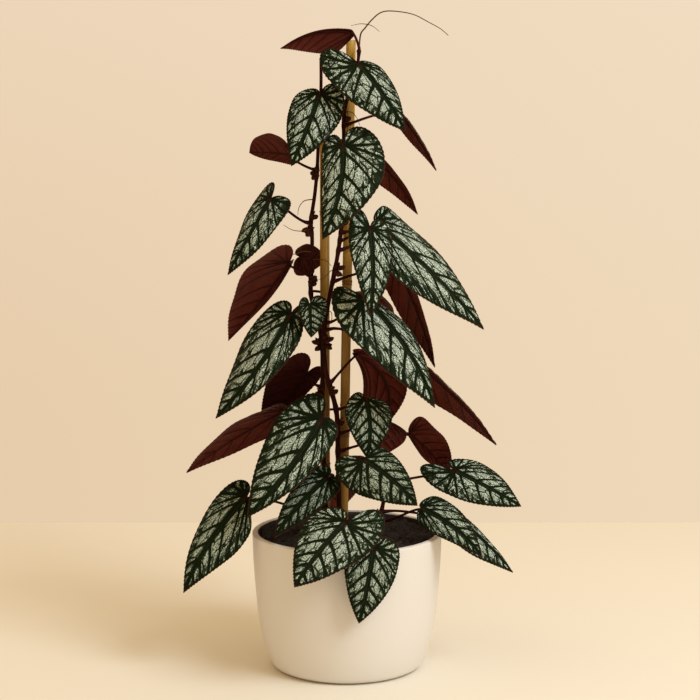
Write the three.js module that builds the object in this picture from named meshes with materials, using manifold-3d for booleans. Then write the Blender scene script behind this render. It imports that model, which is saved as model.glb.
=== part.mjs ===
// A potted climbing vine: heart-shaped serrated leaves on thin stems, tied to two bamboo canes,
// in a round ceramic pot filled with soil. Millimetres. The pot's base is on z = 0, +Z is up and
// the side that the photo shows faces -Y.
import * as THREE from 'three';
import { mergeVertices } from 'three/addons/utils/BufferGeometryUtils.js';
import Module from 'manifold-3d';

const wasm = await Module();
wasm.setup();

// Driving sizes
const GAP = 0.35;               // air between parts that touch in life
const POT_WALL = 4.5;
const POT_FLOOR = 6;
const POT_SIDES = 34;
const POT_OUTSIDE = [           // [radius, height] from the foot up
  [54, 0], [58.6, 2.2], [61.8, 6], [66.3, 19], [70.2, 39], [72.4, 61], [74.2, 85], [75, 107.6],
];
const RIM_TOP = 109;
const SOIL_TOP = 104.5;
const CANE_RADIUS = 3.7;
const CANE_BOTTOM = 20;
const STEM_BOTTOM = 66;
const BLADE_HALF_THICK = 0.45;
const PETIOLE_RADIUS = 1.0;

// One half of the leaf's outline. Across is in half-widths. Along is in lobe lengths behind the
// petiole (negative) and in blade lengths in front of it. ROUNDED is the same half of a blunt leaf.
const OUTLINE = [
  [0, 0], [0.09, -0.62], [0.3, -0.98], [0.58, -0.93], [0.84, -0.45],
  [0.98, 0.04], [1, 0.17], [0.95, 0.32], [0.84, 0.46], [0.69, 0.6],
  [0.51, 0.73], [0.32, 0.84], [0.15, 0.925], [0, 1],
];
const ROUNDED = [0, 0.09, 0.3, 0.58, 0.84, 0.98, 1, 1, 0.97, 0.92, 0.83, 0.66, 0.42, 0];
const VEIN_RUN = 0.27;          // how far a side vein climbs between the midrib and the margin
const BLADE_ROWS = 9;
const TOOTH = 0.06;             // tooth height as a share of the side vein's length

// Stems: centre line from the soil up
const STEMS = {
  left: {
    radius: [2.2, 1.3],
    line: [[-17, -1, STEM_BOTTOM], [-17, -1, 117], [-18, -1, 158], [-20, -1, 198], [-19, -1, 237],
      [-20, -1, 262], [-25, -1, 283], [-28, -1, 296], [-28, -1, 312], [-27, -1, 339],
      [-28, -1, 353], [-25, -1, 374], [-23, -1, 394], [-22, 0, 417], [-20, 1, 455], [-20, 2, 480]],
  },
  right: {
    radius: [2.3, 1.3],
    line: [[-6, -7, STEM_BOTTOM], [-6, -7, 117], [-7, -8, 174], [-8, -8.5, 204], [-13, -9, 225],
      [-17, -9, 241], [-18, -9, 269], [-14, -8.5, 293], [-9, -8, 318], [-6, -7.5, 336],
      [-4, -7.2, 353], [-3, -7, 378], [-2.5, -7, 409], [-2, -7, 436], [2, -7, 455],
      [8, -6.5, 474], [9.5, -6, 488]],
  },
  low: {
    radius: [2.2, 1.4],
    line: [[24, 2, STEM_BOTTOM], [24, 2, 105], [27, 1, 122], [30, 0, 138], [32, 0, 150]],
  },
};

// Leaves. at: where the petiole meets the blade. tip: the blade's point. turn: degrees that the
// upper side is turned from the viewer (0) through up (90) to the back (180). wide: half-widths.
// lobe: lengths behind the petiole. bow: how far the midrib arches. cup: how far the margin drops.
// rounded: 1 for a blunt tip. slant: how far each half's base slopes towards the tip. sway: how
// far the midrib bends sideways.
const LEAVES = [
  { name: 'leaf_01', stem: 'right', root: 484, leave: [0.1, -1, 0.35], at: [5.5, -10, 498.4],
    tip: [-50.8, -8, 486.2], turn: 150, wide: [3, 16.4], lobe: [0.2, 2.8], bow: 0.03, cup: 0.25,
    slant: [0.03, 0.28], sway: -5.1 },
  { name: 'leaf_02', stem: 'right', root: 462, at: [9.5, -24.5, 474.1], tip: [44.1, -35, 424.2],
    turn: 22, wide: [13.8, 25.3], lobe: [4.8, 17.1], bow: 0.06, cup: 0.2, slant: [0.17, -0.2],
    sway: -0.1 },
  { name: 'leaf_03', stem: 'left', root: 440, at: [-20.7, -16, 452], tip: [-42.2, -30, 397.6], turn: 12,
    wide: [20.9, 19.6], lobe: [11.2, 5.4], bow: 0.07, cup: 0.2, slant: [-0.02, 0.13], sway: -1.9 },
  { name: 'leaf_04', stem: 'right', root: 402, at: [-3, -30, 413.3], tip: [-18.4, -50, 343.5], turn: 22,
    wide: [31.4, 19.4], lobe: [14.2, 10], bow: 0.07, cup: 0.2, slant: [-0.09, 0.06], sway: -7.6 },
  { name: 'leaf_05', stem: 'left', root: 394, at: [-43, 8, 404.5], tip: [-77, 30, 406], turn: 150,
    wide: [21.5, 7], lobe: [1, 1], bow: 0.05, cup: 0.3, rounded: 0.5 },
  { name: 'leaf_06', stem: 'left', root: 353, at: [-59, -6, 371.5], tip: [-91.8, -14, 313.4], turn: 42,
    wide: [17.9, 16.5], lobe: [3.7, 13.2], bow: 0.08, cup: 0.2, slant: [-0.08, 0.02], sway: -5 },
  { name: 'leaf_07', stem: 'left', root: 312, at: [-45.4, 12, 320], tip: [-94.6, 30, 256.5], turn: 135,
    wide: [41.4, 5.6], lobe: [20.3, 11.8], bow: 0.08, cup: 0.2, slant: [0.08, 0.26], sway: 7.9 },
  { name: 'leaf_08', stem: 'left', root: 325, at: [-37, 16, 325], tip: [-16, 26, 321], turn: 165,
    wide: [15, 12], lobe: [4, 6], bow: 0.06, cup: 0.2 },
  { name: 'leaf_09', stem: 'right', root: 284, at: [-28.5, -31, 292.6], tip: [-27.3, -35, 267.4],
    turn: 10, wide: [14.6, 8.2], lobe: [5.8, 5], bow: 0.06, cup: 0.2, slant: [-0.06, -0.05], sway: 0.3 },
  { name: 'leaf_10', stem: 'left', root: 286, at: [-43.3, -16, 283.1], tip: [-101.1, -28, 203.5],
    turn: 42, wide: [17.1, 33.4], lobe: [13.1, 11], bow: 0.06, cup: 0.2, slant: [0.1, 0.12], sway: -10 },
  { name: 'leaf_11', stem: 'right', root: 340, at: [17.5, -44, 351.2], tip: [17.5, -62, 287], turn: 20,
    wide: [18.4, 16.5], lobe: [8, 14.5], bow: 0.06, cup: 0.2, slant: [0, -0.02], sway: -0.5 },
  { name: 'leaf_12', stem: 'right', root: 346, at: [21.4, -12, 353.7], tip: [104.8, -28, 272.7],
    turn: 50, wide: [31.7, 25.6], lobe: [4.4, 4], bow: 0.08, cup: 0.2, slant: [-0.04, 0.3], sway: 6.4 },
  { name: 'leaf_13', stem: 'right', root: 276, at: [13.7, -30, 296.4], tip: [66.6, -52, 215.8], turn: 40,
    wide: [16, 31.2], lobe: [3.9, 22.4], bow: 0.07, cup: 0.2, slant: [0.29, 0.08], sway: -2.2 },
  { name: 'leaf_14', stem: 'right', root: 308, leave: [1, -0.1, 0.2], at: [39, 12, 318],
    tip: [70, 30, 235], turn: 125, wide: [23, 13], lobe: [8, 8], bow: 0.03, cup: 0.2 },
  { name: 'leaf_15', stem: 'right', root: 428, leave: [1, -0.1, 0.2], at: [38, 8, 440],
    tip: [70, 24, 392], turn: 110, wide: [15, 11], lobe: [7, 7], bow: 0.03, cup: 0.2 },
  { name: 'leaf_16', stem: 'right', root: 392, leave: [1, -0.1, 0.2], at: [22, 12, 402],
    tip: [56, 34, 357], turn: 132, wide: [16, 9], lobe: [8, 8], bow: 0.05, cup: 0.2 },
  { name: 'leaf_17', stem: 'right', root: 228, leave: [1, -0.1, 0.9], at: [6, -2, 251.2],
    tip: [30.9, 36, 186.1], turn: 160, wide: [21.3, 21.6], lobe: [6.4, 5.6], bow: 0.06, cup: 0.2,
    slant: [0.56, 0.02], sway: 13.2 },
  { name: 'leaf_18', stem: 'right', root: 208, at: [14.9, -26, 218], tip: [15.3, -36, 173.7], turn: 12,
    wide: [18.9, 17.8], lobe: [3, 8.4], bow: 0.07, cup: 0.2, slant: [0.09, 0.15], sway: -2 },
  { name: 'leaf_19', stem: 'right', root: 270, leave: [1, -0.5, 0.2], at: [58, 8, 239],
    tip: [119, 18, 174], turn: 120, wide: [26, 12], lobe: [8, 6], bow: 0.03, cup: 0.2 },
  { name: 'leaf_20', stem: 'right', root: 188, leave: [1, -0.1, 0.2], at: [32, 22, 193],
    tip: [25, 36, 158], turn: 160, wide: [12, 19], lobe: [3, 1], bow: 0.06, cup: 0.2, slant: [0, 0.25] },
  { name: 'leaf_21', stem: 'right', root: 174, leave: [1, -0.1, 0.2], at: [49.1, 12, 185.2],
    tip: [81.1, 26, 150], turn: 150, wide: [8.1, 25.3], lobe: [5.9, 3.3], bow: 0.05, cup: 0.2,
    rounded: 0.3, slant: [0.45, -0.24], sway: 0.2 },
  { name: 'leaf_22', stem: 'low', root: 148, at: [84.8, -8, 158.6], tip: [136.6, -16, 131.6], turn: 35,
    wide: [18.4, 19.6], lobe: [12.5, 19.3], bow: 0.07, cup: 0.2, slant: [0.22, -0.15], sway: 1.5 },
  { name: 'leaf_23', stem: 'low', root: 116, at: [57.4, -30, 133.3], tip: [104.4, -46, 98.2], turn: 25,
    wide: [16.1, 13], lobe: [4, 2.7], bow: 0.07, cup: 0.2, slant: [0.04, 0.12], sway: -3.1 },
  { name: 'leaf_24', stem: 'low', root: 124, at: [86, -8, 121], tip: [130, -22, 80], turn: 55,
    wide: [9, 20], lobe: [3, 6], bow: 0.03, cup: 0.2 },
  { name: 'leaf_25', stem: 'right', root: 160, at: [13.1, -49, 175.3], tip: [53.6, -68, 143.5], turn: 15,
    wide: [16.5, 24.7], lobe: [0.8, 16], bow: 0.06, cup: 0.2, slant: [0.01, -0.02], sway: -2 },
  { name: 'leaf_26', stem: 'left', root: 192, at: [-19.3, -34, 203.5], tip: [-76, -62, 133], turn: 22,
    wide: [16.4, 33.5], lobe: [5.1, 21.1], bow: 0.07, cup: 0.2, slant: [0, 0.11], sway: -5.6 },
  { name: 'leaf_27', stem: 'left', root: 122, at: [-78.1, -18, 140.2], tip: [-127, -36, 67.3], turn: 30,
    wide: [21.8, 21.2], lobe: [2.5, 8.1], bow: 0.07, cup: 0.2, slant: [0.23, -0.03], sway: 1.8 },
  { name: 'leaf_28', stem: 'left', root: 146, at: [-14.6, -34, 158.3], tip: [-55.3, -54, 115.3],
    turn: 35, wide: [14.6, 17.6], lobe: [5.1, 7.2], bow: 0.06, cup: 0.2, slant: [0.04, -0.02],
    sway: 0.8 },
  { name: 'leaf_29', stem: 'right', root: 122, at: [-1.4, -78, 132.9], tip: [-39.1, -104, 89.6],
    turn: 20, wide: [28.1, 24], lobe: [19.4, 10.5], bow: 0.06, cup: 0.15, slant: [-0.14, 0.09],
    sway: 0.8 },
  { name: 'leaf_30', stem: 'low', root: 108, at: [20, -80, 114], tip: [9, -86, 57], turn: -10,
    wide: [22, 20], lobe: [9, 4], bow: 0.06, cup: 0.15 },
  { name: 'leaf_31', stem: 'left', root: 224, leave: [-1, 0.1, 0.2], at: [-31.6, 18, 232.1],
    tip: [-67.8, 38, 183.3], turn: 150, wide: [30.7, 10.8], lobe: [19, 7.1], bow: 0.06, cup: 0.2,
    slant: [0, -0.14], sway: 3.8 },
  { name: 'leaf_32', stem: 'left', root: 194, at: [-50, 8, 203], tip: [-128, 16, 152], turn: 125,
    wide: [33, 22], lobe: [6, 5], bow: 0.03, cup: 0.2 },
  { name: 'leaf_33', stem: 'left', root: 432, leave: [-1, 0.4, 0.2], at: [-18, 22, 448],
    tip: [-26, 66, 410], turn: 165, wide: [15, 15], lobe: [9, 9], bow: 0.08, cup: 0.2 },
  { name: 'leaf_34', stem: 'left', root: 416, leave: [-0.7, 1, 0.1], at: [8, 36, 412],
    tip: [9.8, 78.2, 373.3], turn: 160, wide: [16.7, 16.7], lobe: [9.7, 9.7], bow: 0.08, cup: 0.2 },
  { name: 'leaf_35', stem: 'right', root: 332, leave: [1, 0.1, 0.2], at: [36, 34, 342],
    tip: [44, 90, 292], turn: 160, wide: [23, 23], lobe: [12, 12], bow: 0.08, cup: 0.2 },
  { name: 'leaf_36', stem: 'left', root: 298, leave: [-0.2, 1, 0], at: [20, 44, 290], tip: [28, 96, 240],
    turn: 160, wide: [20, 16], lobe: [12, 12], bow: 0.08, cup: 0.2 },
  { name: 'leaf_37', stem: 'left', root: 282, leave: [-1, 0.2, 0.2], at: [-54, 32, 268],
    tip: [-72.2, 74.6, 227], turn: 155, wide: [19, 19], lobe: [9.9, 9.9], bow: 0.08, cup: 0.2 },
  { name: 'leaf_38', stem: 'left', root: 202, leave: [-1, 0.45, 0.1], at: [14, 47, 202],
    tip: [14, 93.8, 158.8], turn: 165, wide: [19.8, 19.8], lobe: [11.7, 11.7], bow: 0.08, cup: 0.2 },
  { name: 'leaf_39', stem: 'left', root: 176, leave: [-1, 0.3, 0.2], at: [-34, 42, 182],
    tip: [-62, 99, 132], turn: 155, wide: [25, 25], lobe: [13, 13], bow: 0.08, cup: 0.2 },
  { name: 'leaf_40', stem: 'low', root: 144, at: [18, 53, 156], tip: [30, 106, 110], turn: 160,
    wide: [25, 25], lobe: [13, 13], bow: 0.08, cup: 0.2 },
  { name: 'leaf_41', stem: 'left', root: 126, leave: [-1, 0.5, 0.1], at: [-10, 60, 140],
    tip: [-16, 106, 88], turn: 165, wide: [22, 22], lobe: [11, 11], bow: 0.08, cup: 0.2 },
];

const vec = (p) => new THREE.Vector3(p[0], p[1], p[2]);

// Smooth line through the given points, as count + 1 samples
function smooth(points, count) {
  const curve = new THREE.CatmullRomCurve3(points.map(vec), false, 'centripetal');
  const out = [];
  for (let i = 0; i <= count; i += 1) {
    out.push(curve.getPoint(i / count));
  }
  return out;
}

// A solid made from loose triangles, each three Vector3
function solid(triangles) {
  const flat = [];
  for (const corners of triangles) {
    for (const p of corners) {
      flat.push(p.x, p.y, p.z);
    }
  }
  const geometry = new THREE.BufferGeometry();
  geometry.setAttribute('position', new THREE.Float32BufferAttribute(flat, 3));
  return mergeVertices(geometry, 1e-3);
}

// A round rod along a line. radiusAt gives the radius for 0 (start) to 1 (end).
function rod(line, radiusAt, sides) {
  const rings = [];
  let across = new THREE.Vector3(1, 0, 0);
  for (let i = 0; i < line.length; i += 1) {
    const before = line[Math.max(i - 1, 0)];
    const after = line[Math.min(i + 1, line.length - 1)];
    const along = after.clone().sub(before).normalize();
    if (Math.abs(across.dot(along)) > 0.95) {
      across = new THREE.Vector3(0, 1, 0);
    }
    across = across.clone().addScaledVector(along, -across.dot(along)).normalize();
    const other = along.clone().cross(across);
    const radius = radiusAt(i / (line.length - 1));
    const ring = [];
    for (let k = 0; k < sides; k += 1) {
      const a = (2 * Math.PI * k) / sides;
      const p = line[i].clone().addScaledVector(across, radius * Math.cos(a));
      ring.push(p.addScaledVector(other, radius * Math.sin(a)));
    }
    rings.push(ring);
  }
  const out = [];
  for (let i = 0; i + 1 < rings.length; i += 1) {
    for (let k = 0; k < sides; k += 1) {
      const next = (k + 1) % sides;
      out.push([rings[i][k], rings[i][next], rings[i + 1][next]]);
      out.push([rings[i][k], rings[i + 1][next], rings[i + 1][k]]);
    }
  }
  const last = rings.length - 1;
  for (let k = 1; k + 1 < sides; k += 1) {
    out.push([rings[0][0], rings[0][k + 1], rings[0][k]]);
    out.push([rings[last][0], rings[last][k], rings[last][k + 1]]);
  }
  return solid(out);
}

// Joins and cuts
function toManifold(geometry) {
  return new wasm.Manifold(new wasm.Mesh({
    numProp: 3,
    vertProperties: new Float32Array(geometry.attributes.position.array),
    triVerts: new Uint32Array(geometry.index.array),
  }));
}

function toGeometry(body) {
  const mesh = body.getMesh();
  const geometry = new THREE.BufferGeometry();
  geometry.setAttribute('position', new THREE.Float32BufferAttribute(mesh.vertProperties, 3));
  geometry.setIndex(new THREE.Uint32BufferAttribute(mesh.triVerts, 1));
  return geometry;
}

function join(geometries) {
  const bodies = geometries.map(toManifold);
  return toGeometry(bodies.slice(1).reduce((sum, body) => sum.add(body), bodies[0]));
}

function cut(geometry, tools) {
  const bodies = tools.map(toManifold);
  return toGeometry(bodies.reduce((sum, body) => sum.subtract(body), toManifold(geometry)));
}

// Leaf blade

// The outline at u from 0 (the notch) to 1 (the tip): [half-widths, along in blade lengths]
function outlineAt(u, lobeShare, rounded) {
  const points = OUTLINE.map(([x, y], i) => [
    x + (ROUNDED[i] - x) * rounded,
    y < 0 ? y * lobeShare : y,
  ]);
  const at = u * (points.length - 1);
  const i = Math.min(Math.floor(at), points.length - 2);
  const t = at - i;
  const p = (k) => points[Math.min(Math.max(k, 0), points.length - 1)];
  const mix = (c) => 0.5 * (2 * p(i)[c] + (p(i + 1)[c] - p(i - 1)[c]) * t
    + (2 * p(i - 1)[c] - 5 * p(i)[c] + 4 * p(i + 1)[c] - p(i + 2)[c]) * t * t
    + (3 * p(i)[c] - p(i - 1)[c] - 3 * p(i + 1)[c] + p(i + 2)[c]) * t * t * t);
  return [mix(0), mix(1)];
}

// The blade's own directions: along the midrib, out of the upper side, and across
function bladeFrame(leaf) {
  const at = vec(leaf.at);
  const along = vec(leaf.tip).sub(at);
  const length = along.length();
  along.normalize();
  const front = new THREE.Vector3(0, -1, 0);
  front.addScaledVector(along, -front.dot(along)).normalize();
  const upper = along.clone().cross(front).multiplyScalar(along.x < 0 ? 1 : -1);
  const turn = THREE.MathUtils.degToRad(leaf.turn);
  const normal = front.multiplyScalar(Math.cos(turn)).addScaledVector(upper, Math.sin(turn));
  return { at, along, length, normal, across: along.clone().cross(normal) };
}

// A point of the blade's middle surface. x is in millimetres across, y in blade lengths along.
function bladePoint(leaf, frame, x, y, lift) {
  const half = x < 0 ? leaf.wide[0] : leaf.wide[1];
  const bend = y < 0 ? 4 * y : 4 * y * (1 - y);
  const wave = 0.05 * Math.sin(9 * y + 2.1 * leaf.tip[0]) * (x * x) / half;
  const drop = leaf.cup * (x * x) / half + wave;
  const p = frame.at.clone().addScaledVector(frame.along, y * frame.length);
  p.addScaledVector(frame.normal, leaf.bow * bend * frame.length - drop + lift);
  return p.addScaledVector(frame.across, x + (leaf.sway ?? 0) * bend);
}

function blade(leaf) {
  const frame = bladeFrame(leaf);
  const out = [];
  const both = (a, b, c) => {
    const top = [a, b, c].map(([x, y]) => bladePoint(leaf, frame, x, y, BLADE_HALF_THICK));
    const low = [a, c, b].map(([x, y]) => bladePoint(leaf, frame, x, y, -BLADE_HALF_THICK));
    out.push(top, low);
  };
  for (const side of [-1, 1]) {
    const half = leaf.wide[side < 0 ? 0 : 1];
    const lobeShare = leaf.lobe[side < 0 ? 0 : 1] / frame.length;
    const slant = leaf.slant ? leaf.slant[side < 0 ? 0 : 1] : 0;
    const rowAt = (u) => {
      const [x, y] = outlineAt(u, lobeShare, leaf.rounded ?? 0);
      const start = Math.max(0, (y - VEIN_RUN) / (1 - VEIN_RUN));
      return { x: side * x * half, y: y + slant * x * (1 - y), start };
    };
    const edge = [];
    for (let j = 0; j <= 2 * BLADE_ROWS; j += 1) {
      const row = rowAt(j / (2 * BLADE_ROWS));
      const out1 = j % 2 === 1 ? 1 + TOOTH : 1;
      edge.push([row.x * out1, row.start + (row.y - row.start) * out1]);
    }
    edge[0] = [0, 0];
    edge[2 * BLADE_ROWS] = [0, 1];
    const rib = [];
    const middle = [];
    for (let i = 0; i <= BLADE_ROWS; i += 1) {
      const row = rowAt(i / BLADE_ROWS);
      rib.push([0, i === BLADE_ROWS ? 1 : row.start]);
      middle.push([row.x * 0.5, (row.start + row.y) / 2]);
    }
    middle[0] = [0, 0];
    middle[BLADE_ROWS] = [0, 1];
    const face = (a, b, c) => {
      const same = (p, q) => Math.abs(p[0] - q[0]) + Math.abs(p[1] - q[1]) < 1e-6;
      if (same(a, b) || same(b, c) || same(c, a)) {
        return;
      }
      if (side > 0) {
        both(a, b, c);
      } else {
        both(a, c, b);
      }
    };
    for (let i = 0; i < BLADE_ROWS; i += 1) {
      face(rib[i], middle[i], middle[i + 1]);
      face(rib[i], middle[i + 1], rib[i + 1]);
      face(middle[i], edge[2 * i], edge[2 * i + 1]);
      face(middle[i], edge[2 * i + 1], middle[i + 1]);
      face(middle[i + 1], edge[2 * i + 1], edge[2 * i + 2]);
    }
    for (let j = 0; j < 2 * BLADE_ROWS; j += 1) {
      const [a, b] = side > 0 ? [edge[j], edge[j + 1]] : [edge[j + 1], edge[j]];
      const topA = bladePoint(leaf, frame, a[0], a[1], BLADE_HALF_THICK);
      const topB = bladePoint(leaf, frame, b[0], b[1], BLADE_HALF_THICK);
      const lowA = bladePoint(leaf, frame, a[0], a[1], -BLADE_HALF_THICK);
      const lowB = bladePoint(leaf, frame, b[0], b[1], -BLADE_HALF_THICK);
      out.push([topA, lowA, lowB], [topA, lowB, topB]);
    }
  }
  return solid(out);
}

// The point of a stem's centre line at a height
function stemAt(name, height) {
  const line = STEMS[name].line;
  let i = 0;
  while (i + 2 < line.length && line[i + 1][2] < height) {
    i += 1;
  }
  const t = (height - line[i][2]) / (line[i + 1][2] - line[i][2]);
  return vec(line[i]).lerp(vec(line[i + 1]), t);
}

// The leaf's stalk, from just off its stem to the blade's notch
function petiole(leaf) {
  const frame = bladeFrame(leaf);
  const middle = stemAt(leaf.stem, leaf.root);
  const [low, high] = STEMS[leaf.stem].radius;
  const line = STEMS[leaf.stem].line;
  const climbed = (leaf.root - STEM_BOTTOM) / (line[line.length - 1][2] - STEM_BOTTOM);
  const stemRadius = low + (high - low) * climbed;
  const end = bladePoint(leaf, frame, 0, 0.03, -0.2);
  const out = leaf.leave ? vec(leaf.leave) : end.clone().sub(middle).setZ(0);
  out.normalize();
  const start = middle.clone().addScaledVector(out, stemRadius + 1);
  const reach = end.distanceTo(start);
  const first = start.clone().addScaledVector(out, reach * 0.3);
  first.z += reach * 0.06;
  const below = frame.normal.clone().multiplyScalar(-0.8).addScaledVector(frame.along, -0.6);
  const second = end.clone().addScaledVector(below.normalize(), reach * 0.28);
  const curve = new THREE.CubicBezierCurve3(start, first, second, end);
  return rod(curve.getPoints(4), (t) => PETIOLE_RADIUS * (1.15 - 0.25 * t), 5);
}

function leafBody(leaf) {
  return join([blade(leaf), petiole(leaf)]);
}

// Tendrils: curling threads that grow out of a stem. radius is at the root; the end is half that.
const TENDRILS = [
  { stem: 'right', radius: 0.75, line: [[9.3, -6, 485], [10.5, -5, 497], [14, -5, 502], [19, -6, 508],
    [26, -7, 513.5], [35, -9, 514.5], [50, -12, 512], [62, -14, 506], [71, -15, 501], [77, -15, 496]] },
  { stem: 'right', radius: 0.4, line: [[16, -5.4, 504.6], [10, -6, 505], [3, -8, 503.5]] },
  { stem: 'right', radius: 0.4, line: [[16, -5.4, 504.6], [20, -7, 503], [25, -9, 499]] },
  { stem: 'right', radius: 0.45, line: [[-2, -7, 438], [4, -9, 438], [8, -11, 433], [10, -12, 428]] },
  { stem: 'right', radius: 0.45, line: [[-9, -8, 318], [-13, -12, 316], [-18, -13, 311], [-22, -12, 310]] },
  { stem: 'right', radius: 0.45,
    line: [[-16, -9, 286], [-12, -13, 284], [-12, -15, 278], [-15, -14, 275]] },
  { stem: 'left', radius: 0.5, line: [[-26, -1, 371], [-33, -3, 370], [-37, -5, 365], [-38, -6, 359]] },
  { stem: 'left', radius: 0.5, line: [[-28, -1, 349], [-34, -7, 347], [-42, -10, 348], [-49, -10, 352]] },
  { stem: 'left', radius: 0.5, line: [[-27, -1, 324], [-22, -6, 325], [-16, -9, 324], [-12, -11, 320]] },
  { stem: 'left', radius: 0.5, line: [[-27, -1, 330], [-34, -6, 331], [-41, -8, 329], [-45, -8, 332]] },
];

// Buds and dry scales where leaves leave the stem: height on the stem and the way they point
const BUDS = {
  left: [[391, -6, -3, 1], [389, -4, -5, -3], [348, -9, -3, -2], [346, -5, -5, -4], [357, 6, -4, 2],
    [310, 6, -4, -3], [305, 5, -5, 2], [259, -9, -4, 2], [256, -6, -6, -3], [218, -6, -4, 3],
    [186, -6, -3, 3], [447, 5, -4, 2]],
  right: [[318, 9, -3, 2], [315, 7, -5, -3], [262, 9, -3, 3], [258, 7, -5, -3], [221, 6, -4, 3],
    [196, 7, -3, 3], [353, 6, -4, 2], [404, 5, -4, 2], [432, 6, -3, 3], [450, 6, -3, 3]],
  low: [[143, 3, -5, 4], [144, -4, -4, 3], [122, -6, -4, 2], [112, 6, -3, 2]],
};

function budBody(stemName, [height, dx, dy, dz]) {
  const root = stemAt(stemName, height);
  const line = [0, 0.55, 1].map((t) => root.clone().add(new THREE.Vector3(dx * t, dy * t, dz * t * t)));
  return rod(line, (t) => [1.8, 2.6, 0.9][Math.round(2 * t)], 4);
}

function stemBody(name) {
  const stem = STEMS[name];
  const [low, high] = stem.radius;
  const centre = smooth(stem.line, Math.round(stem.line.length * 1.2));
  const bodies = [rod(centre, (t) => low + (high - low) * t, 6)];
  for (const one of TENDRILS.filter((tendril) => tendril.stem === name)) {
    const line = smooth(one.line, Math.round(one.line.length * 1.6));
    bodies.push(rod(line, (t) => one.radius * (1 - 0.5 * t), 4));
  }
  for (const bud of BUDS[name]) {
    bodies.push(budBody(name, bud));
  }
  return join(bodies);
}

// Bamboo canes
const CANES = {
  right: { foot: [-4.6, 0, CANE_BOTTOM], top: [3.2, 1, 493], knots: [186, 306, 420] },
  left: { foot: [-17, 9, CANE_BOTTOM], top: [-17.5, 8, 436], knots: [160, 262, 360] },
};

function caneBody(cane) {
  const line = [];
  const radii = [];
  const add = (height, radius) => {
    const t = (height - cane.foot[2]) / (cane.top[2] - cane.foot[2]);
    line.push(vec(cane.foot).lerp(vec(cane.top), t));
    radii.push(radius);
  };
  add(cane.foot[2], CANE_RADIUS);
  for (const knot of cane.knots) {
    add(knot - 2.4, CANE_RADIUS);
    add(knot - 0.7, CANE_RADIUS + 0.6);
    add(knot + 0.7, CANE_RADIUS + 0.6);
    add(knot + 2.4, CANE_RADIUS);
  }
  add(cane.top[2], CANE_RADIUS - 0.2);
  return rod(line, (t) => radii[Math.round(t * (radii.length - 1))], 10);
}

// Pot and soil
function pot() {
  const profile = [[0, 0], ...POT_OUTSIDE];
  profile.push([74.4, RIM_TOP - 0.3], [73.4, RIM_TOP], [71.6, RIM_TOP], [70.6, RIM_TOP - 0.5]);
  for (const height of [85, 61, 19]) {
    profile.push([insideRadius(height), height]);
  }
  profile.push([56, POT_FLOOR + 1.5], [52, POT_FLOOR], [0, POT_FLOOR]);
  const points = profile.map(([x, y]) => new THREE.Vector2(x, y));
  const lathe = new THREE.LatheGeometry(points, POT_SIDES);
  lathe.rotateX(Math.PI / 2);
  return clean(lathe);
}

// A lathe's seam and poles closed
function clean(geometry) {
  geometry.deleteAttribute('normal');
  geometry.deleteAttribute('uv');
  const merged = mergeVertices(geometry, 1e-3);
  const index = merged.index.array;
  const kept = [];
  for (let i = 0; i < index.length; i += 3) {
    const [a, b, c] = [index[i], index[i + 1], index[i + 2]];
    if (a !== b && b !== c && c !== a) {
      kept.push(a, b, c);
    }
  }
  merged.setIndex(kept);
  return merged;
}

function insideRadius(height) {
  const wall = POT_OUTSIDE;
  let i = 0;
  while (i + 2 < wall.length && wall[i + 1][1] < height) {
    i += 1;
  }
  const t = (height - wall[i][1]) / (wall[i + 1][1] - wall[i][1]);
  return wall[i][0] + (wall[i + 1][0] - wall[i][0]) * t - POT_WALL;
}

function soil() {
  const profile = [[0, POT_FLOOR + GAP], [51, POT_FLOOR + GAP], [55, POT_FLOOR + 2.2]];
  for (const height of [19, 61]) {
    profile.push([insideRadius(height) - 0.6, height]);
  }
  const rings = [1, 0.86, 0.68, 0.48, 0.24];
  for (const share of rings) {
    profile.push([(insideRadius(SOIL_TOP) - 0.6) * share, SOIL_TOP]);
  }
  profile.push([0, SOIL_TOP]);
  const points = profile.map(([x, y]) => new THREE.Vector2(x, y));
  const lathe = new THREE.LatheGeometry(points, 24);
  lathe.rotateX(Math.PI / 2);
  const plug = clean(lathe);
  const position = plug.attributes.position;
  for (let i = 0; i < position.count; i += 1) {
    if (position.getZ(i) > SOIL_TOP - 1) {
      const x = position.getX(i);
      const y = position.getY(i);
      const bumps = Math.sin(0.21 * x + 1) * Math.cos(0.19 * y) + 0.7 * Math.sin(0.43 * x - 0.37 * y);
      position.setZ(i, SOIL_TOP + 1.1 * bumps);
    }
  }
  const holes = [];
  for (const name of Object.keys(STEMS)) {
    const [x, y] = STEMS[name].line[0];
    const radius = STEMS[name].radius[0] + GAP;
    holes.push(rod([vec([x, y, STEM_BOTTOM - 0.4]), vec([x, y, SOIL_TOP + 12])], () => radius, 12));
  }
  for (const cane of Object.values(CANES)) {
    const up = vec(cane.top).sub(vec(cane.foot)).normalize();
    const foot = vec(cane.foot).addScaledVector(up, -0.4);
    const mouth = vec(cane.foot).addScaledVector(up, SOIL_TOP + 12 - CANE_BOTTOM);
    holes.push(rod([foot, mouth], () => CANE_RADIUS + GAP, 12));
  }
  return cut(plug, holes);
}

const group = new THREE.Group();

function place(name, geometry) {
  const mesh = new THREE.Mesh(geometry);
  mesh.name = name;
  group.add(mesh);
}

place('pot', pot());
place('soil', soil());
place('cane_right', caneBody(CANES.right));
place('cane_left', caneBody(CANES.left));
for (const name of Object.keys(STEMS)) {
  place(`stem_${name}`, stemBody(name));
}
for (const leaf of LEAVES) {
  place(leaf.name, leafBody(leaf));
}

export default group;
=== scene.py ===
import math
import random
from collections import namedtuple

import bmesh
import bpy
import numpy as np
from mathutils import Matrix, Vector
from mathutils.geometry import interpolate_bezier


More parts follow.
